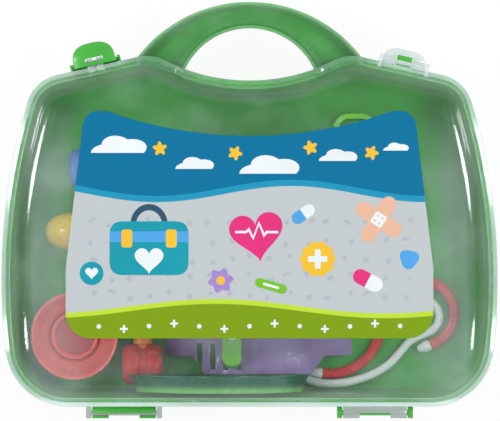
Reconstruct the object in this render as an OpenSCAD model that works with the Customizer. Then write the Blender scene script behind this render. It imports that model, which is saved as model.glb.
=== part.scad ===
/* [Case] */
// Width of the case at its widest
case_w = 280.8; // [275:0.2:300]
// Distance from the body's centre line down to the bottom edge
bottom_y = 98; // [92:1:104]
// Depth of one half, from the parting plane to its face
half_d = 45; // [38:1:52]
// Wall thickness of the mouldings
wall = 2; // [1.6:0.1:2.4]
// Width of the flange that runs round the rim
rim_w = 2.8; // [2:0.2:3.6]
// Height of that flange
rim_h = 3; // [2:0.2:4]
// How far the side walls lean in over their height
draft = 3.6; // [2:0.2:5]
// Radius of the rounded edge between walls and face
edge_r = 10.6; // [8:0.2:12]

/* [Outline] */
// Radius of the bowed sides
side_r = 350; // [300:10:500]
// Height of the widest point, from the centre line
side_y = -26; // [-32:1:-20]
// Radius of the bottom corners
bottom_r = 36; // [32:1:40]
// Radius of the top corners
corner_r = 22.3; // [20:0.1:26]
// Fall of the shoulders in degrees
shoulder_a = 12.7; // [10:0.1:14]
// Where the shoulder line crosses the latches
shoulder_x = 87; // [85:0.5:89]
// Height of the shoulder line there
shoulder_y = 94.7; // [93:0.1:97]
// Radius of the humps under the feet of the handle
hump_r = 25; // [22:1:28]
// Lowest point of the saddle between the humps
saddle_y = 86.6; // [85:0.1:88]
// Radius of the saddle
saddle_r = 105.7; // [95:0.1:115]

/* [Handle] */
// Depth of the handle's half
handle_d = 15; // [12:0.5:18]
// Height of the top of the handle
handle_top = 131.2; // [129:0.1:134]
// Outer radius of the handle
handle_r = 80; // [78:0.5:82]
// Height of the top of the finger opening
grip_top = 116.1; // [114:0.1:118]
// Radius of the finger opening
grip_r = 40.2; // [39:0.1:42]

/* [Hinges] */
// Distance of each hinge from the middle
hinge_x = 71; // [64:1:76]
// Gap from the bottom edge to the hinge axis
hinge_gap = 3.5; // [3.4:0.1:4.5]
// Outer radius of lugs and clips
lug_r = 3.1; // [2.8:0.05:3.1]
// Thickness of a lug
lug_t = 3; // [2:0.2:4]
// Inner distance of the two lugs of a hinge
lug_gap = 37; // [34:0.5:40]
// Radius of the hinge pins
pin_r = 1.5; // [1.2:0.1:1.6]
// Running gap round pins
pin_clear = 0.3; // [0.25:0.05:0.35]
// Gap at each end of a clip or a latch
end_clear = 0.5; // [0.3:0.1:0.8]
// Width of the window in a clip
clip_window = 17.5; // [12:0.5:22]

/* [Latches] */
// Width of a latch
latch_w = 24; // [20:1:26]
// Thickness of a latch
latch_t = 2; // [1.6:0.1:2.2]
// Height of the lip over the plate
lip_h = 13.6; // [10:0.2:16]
// Distance of a latch axis from the parting plane
latch_z = 8; // [7:0.5:10]
// Distance of a latch axis from the shoulder
latch_y = 1.4; // [1.2:0.1:2]
// Outer radius of the latch knuckle and ears
ear_r = 2.5; // [2.3:0.1:2.8]
// Thickness of an ear
ear_t = 2; // [1.6:0.2:3]
// Radius of the latch pins
latch_pin_r = 1.2; // [1:0.1:1.3]
// Width of the catch
catch_w = 9.2; // [8:0.2:10]
// How far the catch reaches from the parting plane
catch_z = 5.2; // [4.8:0.1:6]
// Height of the catch over the shoulder
catch_h = 4.6; // [4:0.1:5]

/* [Label] */
// Half width of the label
label_w = 102.5; // [96:0.5:106]
// Thickness of the label
label_t = 0.25; // [0.2:0.05:0.4]

/* [Stethoscope] */
// Radius of the chest piece
bell_r = 25; // [22:0.5:26]
// Height of the chest piece
bell_h = 22; // [18:0.5:26]
// Radius of the recess in the chest piece
bell_in_r = 15.3; // [13:0.1:17]
// Thickness of the chest piece's wall
bell_t = 1.6; // [1.2:0.1:2.2]
// Diameter of the white tube
tube_d = 4.8; // [4:0.1:5]
// Radius of the ear tubes
ear_rod_r = 3; // [2.6:0.1:3.2]
// Radius of the ear tips
ear_tip_r = 3.4; // [3.2:0.1:3.8]

/* [Arm band] */
// Width of the arm band
band_w = 21; // [18:0.5:22]
// Span of the band over the floor
band_span = 98; // [90:1:102]
// Rise of the band
band_rise = 18; // [16:0.5:22]
// Thickness of the band
band_t = 3; // [2.4:0.1:3.4]
// Number of slots in the band
slot_n = 4; // [2:1:5]
// Width of a slot
slot_w = 3; // [2:0.5:4]
// Step from slot to slot
slot_step = 7.5; // [6.5:0.5:8]
// Radius of the pump bulb
bulb_r = 10.7; // [9:0.1:11]
// Length of the pump bulb
bulb_l = 34; // [30:1:38]

/* [Dish] */
// Length of the kidney dish
dish_l = 103; // [90:1:110]
// Width of the kidney dish
dish_w = 46; // [40:1:48]
// Depth of the kidney dish
dish_h = 10; // [8:0.2:10.4]
// Wall of the kidney dish
dish_t = 1.4; // [1.2:0.1:2]

/* [Hammer] */
// Radius of the hammer's head
hammer_r = 11.5; // [9:0.1:12]
// Length of the hammer's head
hammer_l = 23; // [20:0.5:24]
// Length of the hammer's handle
hammer_handle_l = 84; // [70:1:86]
// Radius of the hammer's handle
hammer_rod_r = 4.2; // [3.4:0.1:4.6]

/* [Otoscope] */
// Radius of the otoscope's handle
oto_r = 11; // [9:0.1:11.4]
// Length of the otoscope's handle
oto_l = 50; // [44:1:54]
// Length of the otoscope's head
oto_head_l = 16; // [14:0.5:18]
// Length of the otoscope's cone
oto_cone_l = 14; // [10:0.5:16]

/* [Thermometer] */
// Length of the thermometer
therm_l = 66; // [56:1:68]
// Width of the thermometer
therm_w = 10.8; // [9:0.2:12]
// Thickness of the thermometer
therm_t = 5; // [4:0.2:6]

/* [Syringe] */
// Outer radius of the syringe's barrel
barrel_r = 8; // [7:0.1:8.4]
// Length of the barrel
barrel_l = 36; // [32:1:38]
// Wall of the barrel
barrel_t = 1.2; // [1:0.1:1.6]
// Running gap of the plunger
plunger_clear = 0.3; // [0.2:0.05:0.4]

/* [Glasses] */
// Outer radius of a rim of the glasses
rim_r = 17.5; // [16:0.1:18]
// Width of a rim
rim_ring = 3; // [2:0.1:4]
// Half distance of the rims' centres
eye_x = 27; // [26:0.5:29]
// Thickness of the frame
frame_t = 3; // [2.4:0.1:3.2]
// Length of a temple
temple_l = 47.5; // [40:0.5:47.5]
// Width of a temple
temple_w = 4.4; // [3.6:0.1:5]
// Thickness of a temple
temple_t = 2; // [1.6:0.1:2.2]
// Radius of the glasses' hinge pins
temple_pin_r = 1; // [0.8:0.1:1.1]

/* [Scissors] */
// Thickness of a scissor half
blade_t = 3; // [2.4:0.1:3.4]
// Distance from the rivet to a blade's tip
blade_l = 46; // [40:1:48]
// Distance from the rivet to the middle of a finger loop
loop_x = 34; // [30:0.5:36]
// Distance of a finger loop from the middle
loop_y = 9.5; // [9:0.1:10]
// Outer radius of a finger loop
loop_r = 9; // [8:0.1:9.3]
// Radius of the finger hole
finger_r = 6.2; // [5:0.1:6.6]
// Radius of the rivet
rivet_r = 2.2; // [1.8:0.1:2.6]

/* [Hidden] */

GREEN = [0.33, 0.72, 0.2];
CLEAR = [0.85, 0.9, 0.92, 0.4];
CORAL = [0.93, 0.38, 0.3];
LILAC = [0.62, 0.5, 0.72];
YELLOW = [0.98, 0.8, 0.15];
BLUE = [0.2, 0.45, 0.8];
WHITE = [0.92, 0.92, 0.9];
$fn = 48;

// Centres of the arcs that the outline is made of

// Point on the line through p at angle a that lies r away from c, the one further on
function reach(c, r, p, a) =
    let (d = [cos(a), sin(a)], w = p - c, b = w * d)
    p + d * (sqrt(b * b - w * w + r * r) - b);

side_c = [case_w / 2 - side_r, side_y];
shoulder_n = [sin(shoulder_a), cos(shoulder_a)];
shoulder_p = [shoulder_x, shoulder_y];
saddle_c = [0, saddle_y + saddle_r];
bottom_c = reach(side_c, side_r - bottom_r, [0, bottom_r - bottom_y], 0);
corner_c = reach(side_c, side_r - corner_r, shoulder_p - corner_r * shoulder_n, -shoulder_a);
hump_c = reach(saddle_c, saddle_r + hump_r, shoulder_p - hump_r * shoulder_n, -shoulder_a);

function bearing(from, to) = atan2(to[1] - from[1], to[0] - from[0]);

// Points on an arc, each with its outward normal
function arc(c, r, a0, a1, n, out = 1) =
    [for (i = [0:n]) let (a = a0 + (a1 - a0) * i / n, d = [cos(a), sin(a)])
        [c[0] + r * d[0], c[1] + r * d[1], out * d[0], out * d[1]]];

function tail(list) = [for (i = [1:len(list) - 1]) list[i]];

bottom_turn = bearing(side_c, bottom_c);
corner_turn = bearing(side_c, corner_c);
hump_turn = bearing(hump_c, saddle_c);
right_side = concat(
    [[0, -bottom_y, 0, -1]],
    arc(bottom_c, bottom_r, -90, bottom_turn, 7),
    tail(arc(side_c, side_r, bottom_turn, corner_turn, 5)),
    tail(arc(corner_c, corner_r, corner_turn, 90 - shoulder_a, 5)),
    arc(hump_c, hump_r, 90 - shoulder_a, hump_turn, 4),
    tail(arc(saddle_c, saddle_r, hump_turn - 180, -90, 4, -1)));
half_n = len(right_side) - 1;
ring_n = 2 * half_n;
outline = concat(right_side,
    [for (i = [half_n - 1:-1:1]) let (p = right_side[i]) [-p[0], p[1], -p[2], p[3]]]);

// One ring of the loft: the outline drawn in by t, at height z
function ring(t, z) = [for (p = outline) [p[0] - t * p[2], p[1] - t * p[3], z]];

// Rounded edge as pairs of inset and height
function edge(t, z, r) = [for (a = [0:22.5:90]) [t + r * (1 - cos(a)), z + r * sin(a)]];

shell_levels = concat(
    [for (l = [4:-1:0]) edge(rim_w + wall + draft, half_d - edge_r, edge_r - wall)[l]],
    [[rim_w + wall, 0], [0, 0], [0, rim_h], [rim_w, rim_h + 0.5]],
    edge(rim_w + draft, half_d - edge_r, edge_r));

// Fan that closes the ring starting at point k: every point of it is in sight of the first
function cap(k, up) = [for (i = [1:ring_n - 2]) up ? [k, k + i + 1, k + i] : [k, k + i, k + i + 1]];

module loft(levels) {
    rings = len(levels);
    polyhedron(
        points = [for (l = levels) each ring(l[0], l[1])],
        faces = concat(
            cap(0, false),
            [for (l = [0:rings - 2], i = [0:ring_n - 1])
                let (j = (i + 1) % ring_n, a = l * ring_n, b = a + ring_n)
                [a + i, b + i, b + j, a + j]],
            cap((rings - 1) * ring_n, true)),
        convexity = 8);
}

// Top of the outline, drawn in by t, at x
hump_end = hump_c[0] + hump_r * shoulder_n[0];
saddle_end = saddle_r * cos(hump_turn - 180);
function top_y(x, t) = let (u = abs(x))
    u < saddle_end ? saddle_c[1] - sqrt(pow(saddle_r + t, 2) - u * u)
    : u < hump_end ? hump_c[1] + sqrt(pow(hump_r - t, 2) - pow(u - hump_c[0], 2))
    : shoulder_y - (u - shoulder_x) * tan(shoulder_a) - t / cos(shoulder_a);
// Right edge of the outline at y, on the bowed side
function side_x(y) = side_c[0] + sqrt(side_r * side_r - pow(y - side_c[1], 2));

// Handle: a channel carried round from foot to foot

handle_n = 20;
foot_t = rim_w + wall * 0.75;
outer_foot = asin(66 / handle_r);
inner_foot = asin(37.4 / grip_r);
handle_edge = 4.4;
// The channel's outer skin as [share of the width, mm from the left edge, height], then its inner skin
handle_out = [[0, 0, 0], [0, 0.8, handle_d - 4], [0, 1.9, handle_d - 1.2], [0, handle_edge, handle_d],
    [0.5, 0, handle_d], [1, -handle_edge, handle_d], [1, -1.9, handle_d - 1.2],
    [1, -0.8, handle_d - 4], [1, 0, 0]];
handle_in = [[0, wall, 0], [0, wall + 0.6, handle_d - 5], [0, wall + 1.2, handle_d - 3],
    [0, wall + 3, handle_d - wall], [0.5, 0, handle_d - wall], [1, -wall - 3, handle_d - wall],
    [1, -wall - 1.2, handle_d - 3], [1, -wall - 0.6, handle_d - 5], [1, -wall, 0]];
skin_n = len(handle_out);

function handle_point(k, s) =
    let (u = 2 * k / handle_n - 1,
         o = [0, handle_top - handle_r] + handle_r * [sin(u * outer_foot), cos(u * outer_foot)],
         i = [0, grip_top - grip_r] + grip_r * [sin(u * inner_foot), cos(u * inner_foot)],
         f = s[0] + s[1] / norm(i - o),
         p = o + f * (i - o))
    abs(u) < 1 ? [p[0], p[1], s[2]] : [p[0], top_y(p[0], foot_t), s[2]];

module handle_channel() {
    loop = concat(handle_out, [for (i = [skin_n - 1:-1:0]) handle_in[i]]);
    n = len(loop);
    last = handle_n * n;
    polyhedron(
        points = [for (k = [0:handle_n], s = loop) handle_point(k, s)],
        faces = concat(
            [for (i = [0:skin_n - 2]) [i, i + 1, n - 2 - i, n - 1 - i]],
            [for (k = [0:handle_n - 1], i = [0:n - 1])
                let (j = (i + 1) % n, a = k * n, b = a + n) [a + i, b + i, b + j, a + j]],
            [for (i = [0:skin_n - 2]) [last + n - 1 - i, last + n - 2 - i, last + i + 1, last + i]]),
        convexity = 8);
}

// Plate with its outline in the YZ plane, from x over a width w
module plate_yz(x, w, points) {
    translate([x, 0, 0]) rotate([90, 0, 90]) linear_extrude(w) polygon(points);
}

module rod_x(x, y, z, r, l) {
    translate([x, y, z]) rotate([0, 90, 0]) cylinder(r = r, h = l);
}

// Hinges, on the bottom edge

hinge_y = -bottom_y - hinge_gap;
clip_w = lug_gap - 2 * end_clear;
// Arm that carries a lug or a clip, seated on the edge of the flange
arm_points = [[hinge_y, lug_r], [-bottom_y, rim_h], [-bottom_y, 0], [hinge_y, 0]];

module hinge_lugs(x) {
    for (lug_x = [x - lug_gap / 2 - lug_t, x + lug_gap / 2]) {
        rod_x(lug_x, hinge_y, 0, lug_r, lug_t);
        plate_yz(lug_x, lug_t, arm_points);
    }
    rod_x(x - lug_gap / 2 - lug_t / 2, hinge_y, 0, pin_r, lug_gap + lug_t);
}

module hinge_clip(x) {
    difference() {
        union() {
            rod_x(x - clip_w / 2, hinge_y, 0, lug_r, clip_w);
            plate_yz(x - clip_w / 2, clip_w, arm_points);
        }
        rod_x(x - clip_w / 2 - 1, hinge_y, 0, pin_r + pin_clear, clip_w + 2);
        translate([x - clip_w / 2 - 1, hinge_y - 2 * lug_r, -2 * lug_r])
            cube([clip_w + 2, 2 * lug_r, 2 * lug_r]);
        translate([x - clip_window / 2, hinge_y - 2 * lug_r, -2 * lug_r])
            cube([clip_window, 2 * lug_r, 3 * lug_r]);
    }
}

// Latches and catches, in a frame that stands on the shoulder: x along it, y outwards

step_z = rim_h + 0.5;
ear_half = 3.4;

// Distance of the leaning wall behind the edge of the flange, at height z
function wall_t(z) = rim_w + (z - step_z) * draft / (half_d - edge_r - step_z);

module at_shoulder(side) {
    translate([side * shoulder_x, shoulder_y, 0]) rotate([0, 0, -side * shoulder_a]) children();
}

module latch_ears() {
    at_shoulder(1) {
        for (x = [-latch_w / 2 - end_clear - ear_t, latch_w / 2 + end_clear]) {
            rod_x(x, latch_y, latch_z, ear_r, ear_t);
            plate_yz(x, ear_t, [[-wall_t(latch_z - ear_half), latch_z - ear_half],
                [-wall_t(latch_z + ear_half), latch_z + ear_half],
                [latch_y, latch_z + ear_r], [latch_y, latch_z - ear_r]]);
        }
        rod_x(-latch_w / 2 - end_clear - ear_t / 2, latch_y, latch_z, latch_pin_r,
            latch_w + 2 * end_clear + ear_t);
    }
}

plate_y = latch_y - latch_t / 2 + 0.2;
bar_z = -catch_z - pin_clear;

module latch() {
    at_shoulder(1) difference() {
        union() {
            rod_x(-latch_w / 2, latch_y, latch_z, ear_r, latch_w);
            translate([-latch_w / 2, plate_y, bar_z - latch_t])
                cube([latch_w, latch_t, latch_z - bar_z + latch_t]);
            translate([0, plate_y, bar_z - latch_t]) linear_extrude(latch_t) hull() {
                translate([-latch_w / 2, 0]) square([latch_w, 1]);
                for (x = [-1, 1]) translate([x * (latch_w / 2 - 3), lip_h - 3]) circle(r = 3, $fn = 24);
            }
        }
        rod_x(-latch_w / 2 - 1, latch_y, latch_z, latch_pin_r + pin_clear, latch_w + 2);
        translate([-latch_w / 2 - 1, latch_y - latch_pin_r + 0.2, latch_z])
            cube([latch_w + 2, 2 * latch_pin_r - 0.4, 2 * ear_r]);
        translate([-catch_w / 2 - end_clear, plate_y - 1, bar_z])
            cube([catch_w + 2 * end_clear, latch_t + 2, -0.8 - bar_z]);
        translate([-catch_w / 2 - end_clear, plate_y + latch_t, bar_z - latch_t - 1])
            cube([catch_w + 2 * end_clear, catch_h + 1 - plate_y - latch_t + 1, latch_t + 2]);
    }
}

catch_low = 1.2;
catch_slant = 1;
prong_w = catch_w * 0.4;
web_t = 0.4;

// Two prongs, joined by a thin web at their foot
module catch_nose() {
    at_shoulder(-1) {
        for (x = [-catch_w / 2, catch_w / 2 - prong_w])
            plate_yz(x, prong_w, [[0, catch_low], [0, rim_h], [-rim_w, step_z], [-wall_t(catch_z), catch_z],
                [0, catch_z], [catch_h, catch_z - catch_slant], [catch_h, catch_low + catch_slant]]);
        translate([-catch_w / 2, 0, catch_low]) cube([catch_w, web_t, rim_h - catch_low]);
    }
}

// Locating tabs: small upstands just inside the wall, which reach into the other half

tab_w = 2;
tab_l = 3;
tab_reach = 2;
tab_clear = 0.9;

// Tab with the wall's inner face at the origin, pointing along +y
module tab() {
    plate_yz(-tab_w / 2, tab_w, [[-wall / 2, 5], [tab_l, 5], [tab_l, -tab_reach],
        [tab_clear + 0.5, -tab_reach], [tab_clear, 0.5 - tab_reach], [tab_clear, 0.3], [-wall / 2, 0.3]]);
}

module tabs() {
    translate([-8, sqrt(grip_r * grip_r - 64) + grip_top - grip_r + wall, 0]) tab();
    translate([-8, top_y(8, rim_w + wall), 0]) rotate([0, 0, 180]) tab();
    for (y = [-34, 34]) translate([rim_w + wall - side_x(y), y, 0]) rotate([0, 0, -90]) tab();
}

// One half of the case, with its parting plane at z = 0 and its face at z = half_d

module half_shell() {
    resize([0, 0, 0]) union() {
        loft(shell_levels);
        handle_channel();
        tabs();
    }
}

// The back half is the same moulding as the front half, turned about the Y axis

module as_front() {
    translate([0, 0, half_d]) children();
}

module as_back() {
    translate([0, 0, half_d]) rotate([0, 180, 0]) children();
}

module back_shell() {
    color(GREEN) as_back() half_shell();
}

module back_hinge_lugs() {
    color(GREEN) as_back() hinge_lugs(-hinge_x);
}

module back_hinge_clip() {
    color(GREEN) as_back() hinge_clip(hinge_x);
}

module back_latch_ears() {
    color(GREEN) as_back() latch_ears();
}

module back_catch() {
    color(GREEN) as_back() catch_nose();
}

module front_shell() {
    color(CLEAR) as_front() half_shell();
}

module front_hinge_lugs() {
    color(CLEAR) as_front() hinge_lugs(-hinge_x);
}

module front_hinge_clip() {
    color(CLEAR) as_front() hinge_clip(hinge_x);
}

module front_latch_ears() {
    color(CLEAR) as_front() latch_ears();
}

module front_catch() {
    color(CLEAR) as_front() catch_nose();
}

module green_latch() {
    color(GREEN) as_back() latch();
}

module clear_latch() {
    color(CLEAR) as_front() latch();
}

label_top = 68.6;
label_dip = 54.6;
label_low = -58.3;
label_peak_x = 80;

module front_label() {
    dip_r = (pow(label_peak_x, 2) + pow(label_top - label_dip, 2)) / (2 * (label_top - label_dip));
    color([0.55, 0.75, 0.8]) translate([0, 0, 2 * half_d]) linear_extrude(label_t)
        offset(r = 9) offset(delta = -9) difference() {
            hull() {
                for (s = [-1, 1]) {
                    translate([s * (label_w - 14), label_low + 14]) circle(r = 14);
                    translate([s * (label_w - 9), -20]) circle(r = 9);
                    translate([s * (label_w - 9.5 - 9), label_top - 9]) circle(r = 9);
                }
            }
            translate([0, label_dip + dip_r]) circle(r = dip_r, $fn = 180);
        }
}

// The tray: everything below lies in the back half, whose floor is at floor_z

floor_z = wall;

// Stethoscope

// Distances from the case's side to the middles of the chest piece and of the right ear tube's bend
bell_side = 40.4;
bend_side = 41.4;
bell_c = [-(case_w / 2 - bell_side), -58.6];
right_c = [case_w / 2 - bend_side, -46];
stub_a = 30;
stub_r = 3.4;
stub_z = floor_z + 4.4;
stub_end = 30;
stub_start = bell_in_r - 0.3;
recess_r = bell_in_r - 1.4;
recess_z = 4;
disc_r = recess_r - 0.3;
disc_t = 1.2;

module chest_piece() {
    lip = 2.4;
    neck_h = bell_h * 0.35;
    flare_h = bell_h * 0.55;
    flare_r = bell_r - 3.6;
    color(CORAL) translate([bell_c[0], bell_c[1], 0]) {
        translate([0, 0, floor_z]) rotate_extrude($fn = 72) polygon([
            [0, 0], [bell_in_r - 1, 0], [bell_in_r + 0.4, 1.4], [bell_in_r + bell_t, neck_h],
            [flare_r, flare_h], [bell_r - 0.6, bell_h - lip], [bell_r, bell_h - lip], [bell_r, bell_h],
            [bell_r - bell_t, bell_h], [flare_r - 2, flare_h + bell_t], [bell_in_r, neck_h + bell_t],
            [recess_r, recess_z], [0, recess_z]]);
        translate([0, 0, stub_z]) rotate([0, 90, stub_a]) translate([0, 0, stub_start])
            cylinder(r = stub_r, h = stub_end - stub_start, $fn = 32);
    }
}

module chest_diaphragm() {
    color([0.9, 0.55, 0.5]) translate([bell_c[0], bell_c[1], floor_z + recess_z])
        cylinder(r = disc_r, h = disc_t);
}

module chest_ring() {
    color(CORAL) translate([bell_c[0], bell_c[1], floor_z + recess_z + disc_t]) rotate_extrude()
        polygon([[disc_r - 3, 0], [disc_r, 0], [disc_r, 2.4], [disc_r - 1.8, 2.4]]);
}

yoke_c = [right_c[0] - 13, -26];
yoke_z = floor_z + 3.4;
yoke_top = yoke_c[1] + 12;
tube_r = tube_d / 2;
// The tube's route: from the yoke, measured from the bend of the right ear tube, then through the
// middle, then to the stub of the chest piece, measured from that piece
right_run = [
    [-13, -14, 5.4], [-13, -11, 5.4], [-13, -7, 4.8], [-16.5, -0.5, 4.5], [-24, 2.5, 4.5],
    [-32, 0.5, 4.5], [-37.5, -6, 4.5], [-39, -15, 4.6], [-36.5, -24, 6.2], [-31, -31, 9],
    [-23.8, -35.5, 11], [-17, -37.3, 9], [-9, -37.6, 5.8], [-1, -37.7, 4.6], [5, -39.4, 4.5],
    [8.6, -43.3, 4.5], [9.8, -48, 4.5], [8.4, -52.8, 4.5], [4.5, -56.4, 4.5], [-1, -58.6, 4.5],
    [-7, -62, 4.5], [-12, -67.5, 4.8], [-19, -75, 5.6], [-29, -81, 7.4], [-41, -84.9, 9.2],
    [-52, -86, 10.6], [-61, -85.2, 10.6]];
middle_run = [
    [30, -82.2, 8.2], [24, -77.8, 5.6], [19, -73, 4.6], [12, -64, 4.5], [4, -55.5, 4.5],
    [-6, -50, 4.5], [-18, -47.4, 4.5], [-32, -45.6, 4.5], [-46, -43.4, 4.5], [-56, -41.4, 4.7]];
bell_run = [[35, 18, 5.6], [30, 16.9, 6.2], [stub_end * cos(stub_a), stub_end * sin(stub_a), stub_z]];
tube_route = concat(
    [for (p = right_run) p + [right_c[0], 0, 0]],
    middle_run,
    [for (p = bell_run) p + [bell_c[0], bell_c[1], 0]]);

function unit(v) = v / norm(v);

// Tube swept along a route: one ring of n points square to the run at each point
module swept_tube(route, r, n) {
    last = len(route) - 1;
    along = [for (i = [0:last]) unit(route[min(i + 1, last)] - route[max(i - 1, 0)])];
    polyhedron(
        points = [for (i = [0:last])
            let (side = unit(cross([0, 0, 1], along[i])), up = cross(along[i], side))
            for (k = [0:n - 1]) route[i] + r * (cos(360 * k / n) * side + sin(360 * k / n) * up)],
        faces = concat(
            [[for (k = [0:n - 1]) k]],
            [for (i = [0:last - 1], k = [0:n - 1])
                let (j = (k + 1) % n, a = i * n, b = a + n) [a + k, b + k, b + j, a + j]],
            [[for (k = [n - 1:-1:0]) last * n + k]]),
        convexity = 10);
}

module stethoscope_tube() {
    color(WHITE) swept_tube(tube_route, tube_r, 8);
}

module stethoscope_yoke() {
    color(CORAL) {
        translate([yoke_c[0], yoke_c[1], floor_z]) linear_extrude(6.8) hull() {
            translate([-8, -2]) circle(r = 3.6, $fn = 32);
            translate([8, -2]) circle(r = 3.6, $fn = 32);
            translate([0, 4]) circle(r = 3.6, $fn = 32);
        }
        translate([yoke_c[0], yoke_c[1], yoke_z]) rotate([-90, 0, 0])
            cylinder(r = 3.2, h = yoke_top - yoke_c[1]);
    }
}

rod_z = floor_z + ear_rod_r;
right_r = 18.6;
right_a = 75;
right_n = 18;
left_c = [yoke_c[0] - 40, -51.4];
left_r = 29.2;
left_a = -98;
left_n = 14;
bend_r = 8;

// Route points on an arc round c, from angle a over an angle da
function turn(c, r, a, da, n) = [for (i = [0:n]) let (u = a + da * i / n)
    [c[0] + r * cos(u), c[1] + r * sin(u), rod_z]];

right_route = concat(turn(right_c, right_r, -right_a, 2 * right_a, right_n),
    [[right_c[0] + right_r * cos(right_a) + 9 * cos(right_a + 90),
        right_c[1] + right_r * sin(right_a) + 9 * sin(right_a + 90), rod_z]]);
left_route = concat(turn(left_c, left_r, left_a, -left_a, left_n),
    turn([left_c[0] + left_r + bend_r, left_c[1] + 20], bend_r, 180, -60, 6));

module ear_tube_right() {
    color(CORAL) swept_tube(right_route, ear_rod_r, 10);
}

module ear_tube_left() {
    color(CORAL) swept_tube(left_route, ear_rod_r, 10);
}

// Tip square to the last run of its tube, which points along a
module ear_tip(p, a) {
    translate([p[0], p[1], floor_z + ear_tip_r]) rotate([0, 0, a]) rotate([0, 90, 0]) {
        cylinder(r1 = ear_tip_r - 0.6, r2 = ear_tip_r, h = 3);
        translate([0, 0, 3]) cylinder(r1 = ear_tip_r, r2 = 1.6, h = 5);
    }
}

module ear_tips() {
    color(WHITE) {
        ear_tip(right_c + right_r * [cos(right_a), -sin(right_a)],
            right_a / right_n - 90 - right_a);
        ear_tip(left_c + left_r * [cos(left_a), sin(left_a)],
            left_a - 90 - left_a / left_n / 2);
    }
}

// Arm band with its gauge and pump bulb

band_x = 5;
band_y = -70.5;
band_in_r = (pow(band_span / 2, 2) + band_rise * band_rise) / (2 * band_rise);
band_c = floor_z + band_rise - band_in_r;
foot_w = 10;
slot_x = -30;

module arm_band() {
    color(LILAC) difference() {
        intersection() {
            translate([band_x, band_y + band_w / 2, band_c]) rotate([90, 0, 0]) difference() {
                cylinder(r = band_in_r + band_t, h = band_w, $fn = 96);
                translate([0, 0, -1]) cylinder(r = band_in_r, h = band_w + 2, $fn = 96);
            }
            translate([band_x, band_y, floor_z]) linear_extrude(band_rise + band_t + 1)
                polygon([[-62, band_w / 2 - foot_w], [-38, band_w / 2 - foot_w], [-30, -band_w / 2],
                    [30, -band_w / 2], [38, band_w / 2 - foot_w], [62, band_w / 2 - foot_w],
                    [62, band_w / 2], [-62, band_w / 2]]);
        }
        for (i = [0:slot_n - 1]) translate([slot_x + i * slot_step, band_y - band_w / 2 + 3, floor_z])
            cube([slot_w, band_w - 6, band_rise + 2 * band_t]);
    }
}

gauge_c = [32, -34];
gauge_r = 13;
gauge_h = 6.4;
gauge_edge = 1.5;
gauge_glass = 2;
gauge_wall = 2.4;
loop_w = 6.4;
loop_h = 4;
dial_t = 0.6;

module gauge_case() {
    color(YELLOW) translate([gauge_c[0], gauge_c[1], floor_z]) difference() {
        union() {
            rotate_extrude($fn = 64) polygon([[0, 0], [gauge_r - gauge_edge, 0], [gauge_r, gauge_edge],
                [gauge_r, gauge_h - gauge_edge], [gauge_r - 1, gauge_h], [0, gauge_h]]);
            translate([-gauge_r - loop_w / 2, -loop_w / 2, 0]) cube([gauge_r, loop_w, loop_h]);
        }
        translate([0, 0, gauge_h - gauge_glass])
            cylinder(r = gauge_r - gauge_wall, h = 2 * gauge_glass);
    }
}

module gauge_dial() {
    color(WHITE) translate([gauge_c[0], gauge_c[1], floor_z + gauge_h - gauge_glass])
        cylinder(r = gauge_r - gauge_wall - 0.2, h = dial_t);
}

module gauge_needle() {
    color([0.8, 0.15, 0.15]) translate([gauge_c[0], gauge_c[1],
        floor_z + gauge_h - gauge_glass + dial_t]) {
        cylinder(r = 1.4, h = 0.9, $fn = 24);
        linear_extrude(0.6) polygon([[-0.8, -2], [0.8, -2], [0.3, 8], [-0.3, 8]]);
    }
}

bulb_end = [-118, 1];

module pump_bulb() {
    color(YELLOW) translate([bulb_end[0], bulb_end[1], floor_z + bulb_r]) rotate([0, 90, 0])
        rotate_extrude($fn = 64) polygon(concat([[0, 0]],
            [for (i = [1:11]) let (u = i / 12) [bulb_r * pow(sin(180 * pow(u, 0.86)), 0.62), bulb_l * u]],
            [[3.4, bulb_l], [0, bulb_l]]));
}

module pump_valve() {
    color(WHITE) translate([bulb_end[0] + bulb_l, bulb_end[1], floor_z + bulb_r]) rotate([0, 90, 0]) {
        cylinder(r = 4.4, h = 4);
        translate([0, 0, 4]) cylinder(r1 = 3.4, r2 = 2.2, h = 6);
    }
}

// Kidney dish, standing on its long side between the hammer and the bottom wall

hammer_x = -61;
hammer_y = -75;
hammer_z = floor_z + hammer_r;
dish_x = -17;
dish_y = -80;
dish_n = 36;
dish_b = dish_w / 2.16;
kidney_bend = 0.45;
// The dish's lowest point, on the hammer's head
dish_z = hammer_z + sqrt(hammer_r * hammer_r - pow(dish_y - hammer_y, 2)) + 0.2;

// Kidney outline of the given half length and half width: an oval bent round
function kidney(a, b) = [for (i = [0:dish_n - 1]) let (t = 360 * i / dish_n, x = a * cos(t))
    [x, b * sin(t) + kidney_bend * b * (2 * x * x / (a * a) - 1)]];

function dish_ring(inset, z) = [for (p = kidney(dish_l / 2 - inset, dish_b - inset)) [p[0], p[1], z]];

// Rings of the dish as inset and height: down the inside, then up the outside
dish_levels = [[dish_t + 4, dish_t], [dish_t + 1.6, dish_h - 1.2], [0, dish_h], [0, dish_h - 1],
    [1.4, dish_h - 1.8], [4, 0]];

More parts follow.
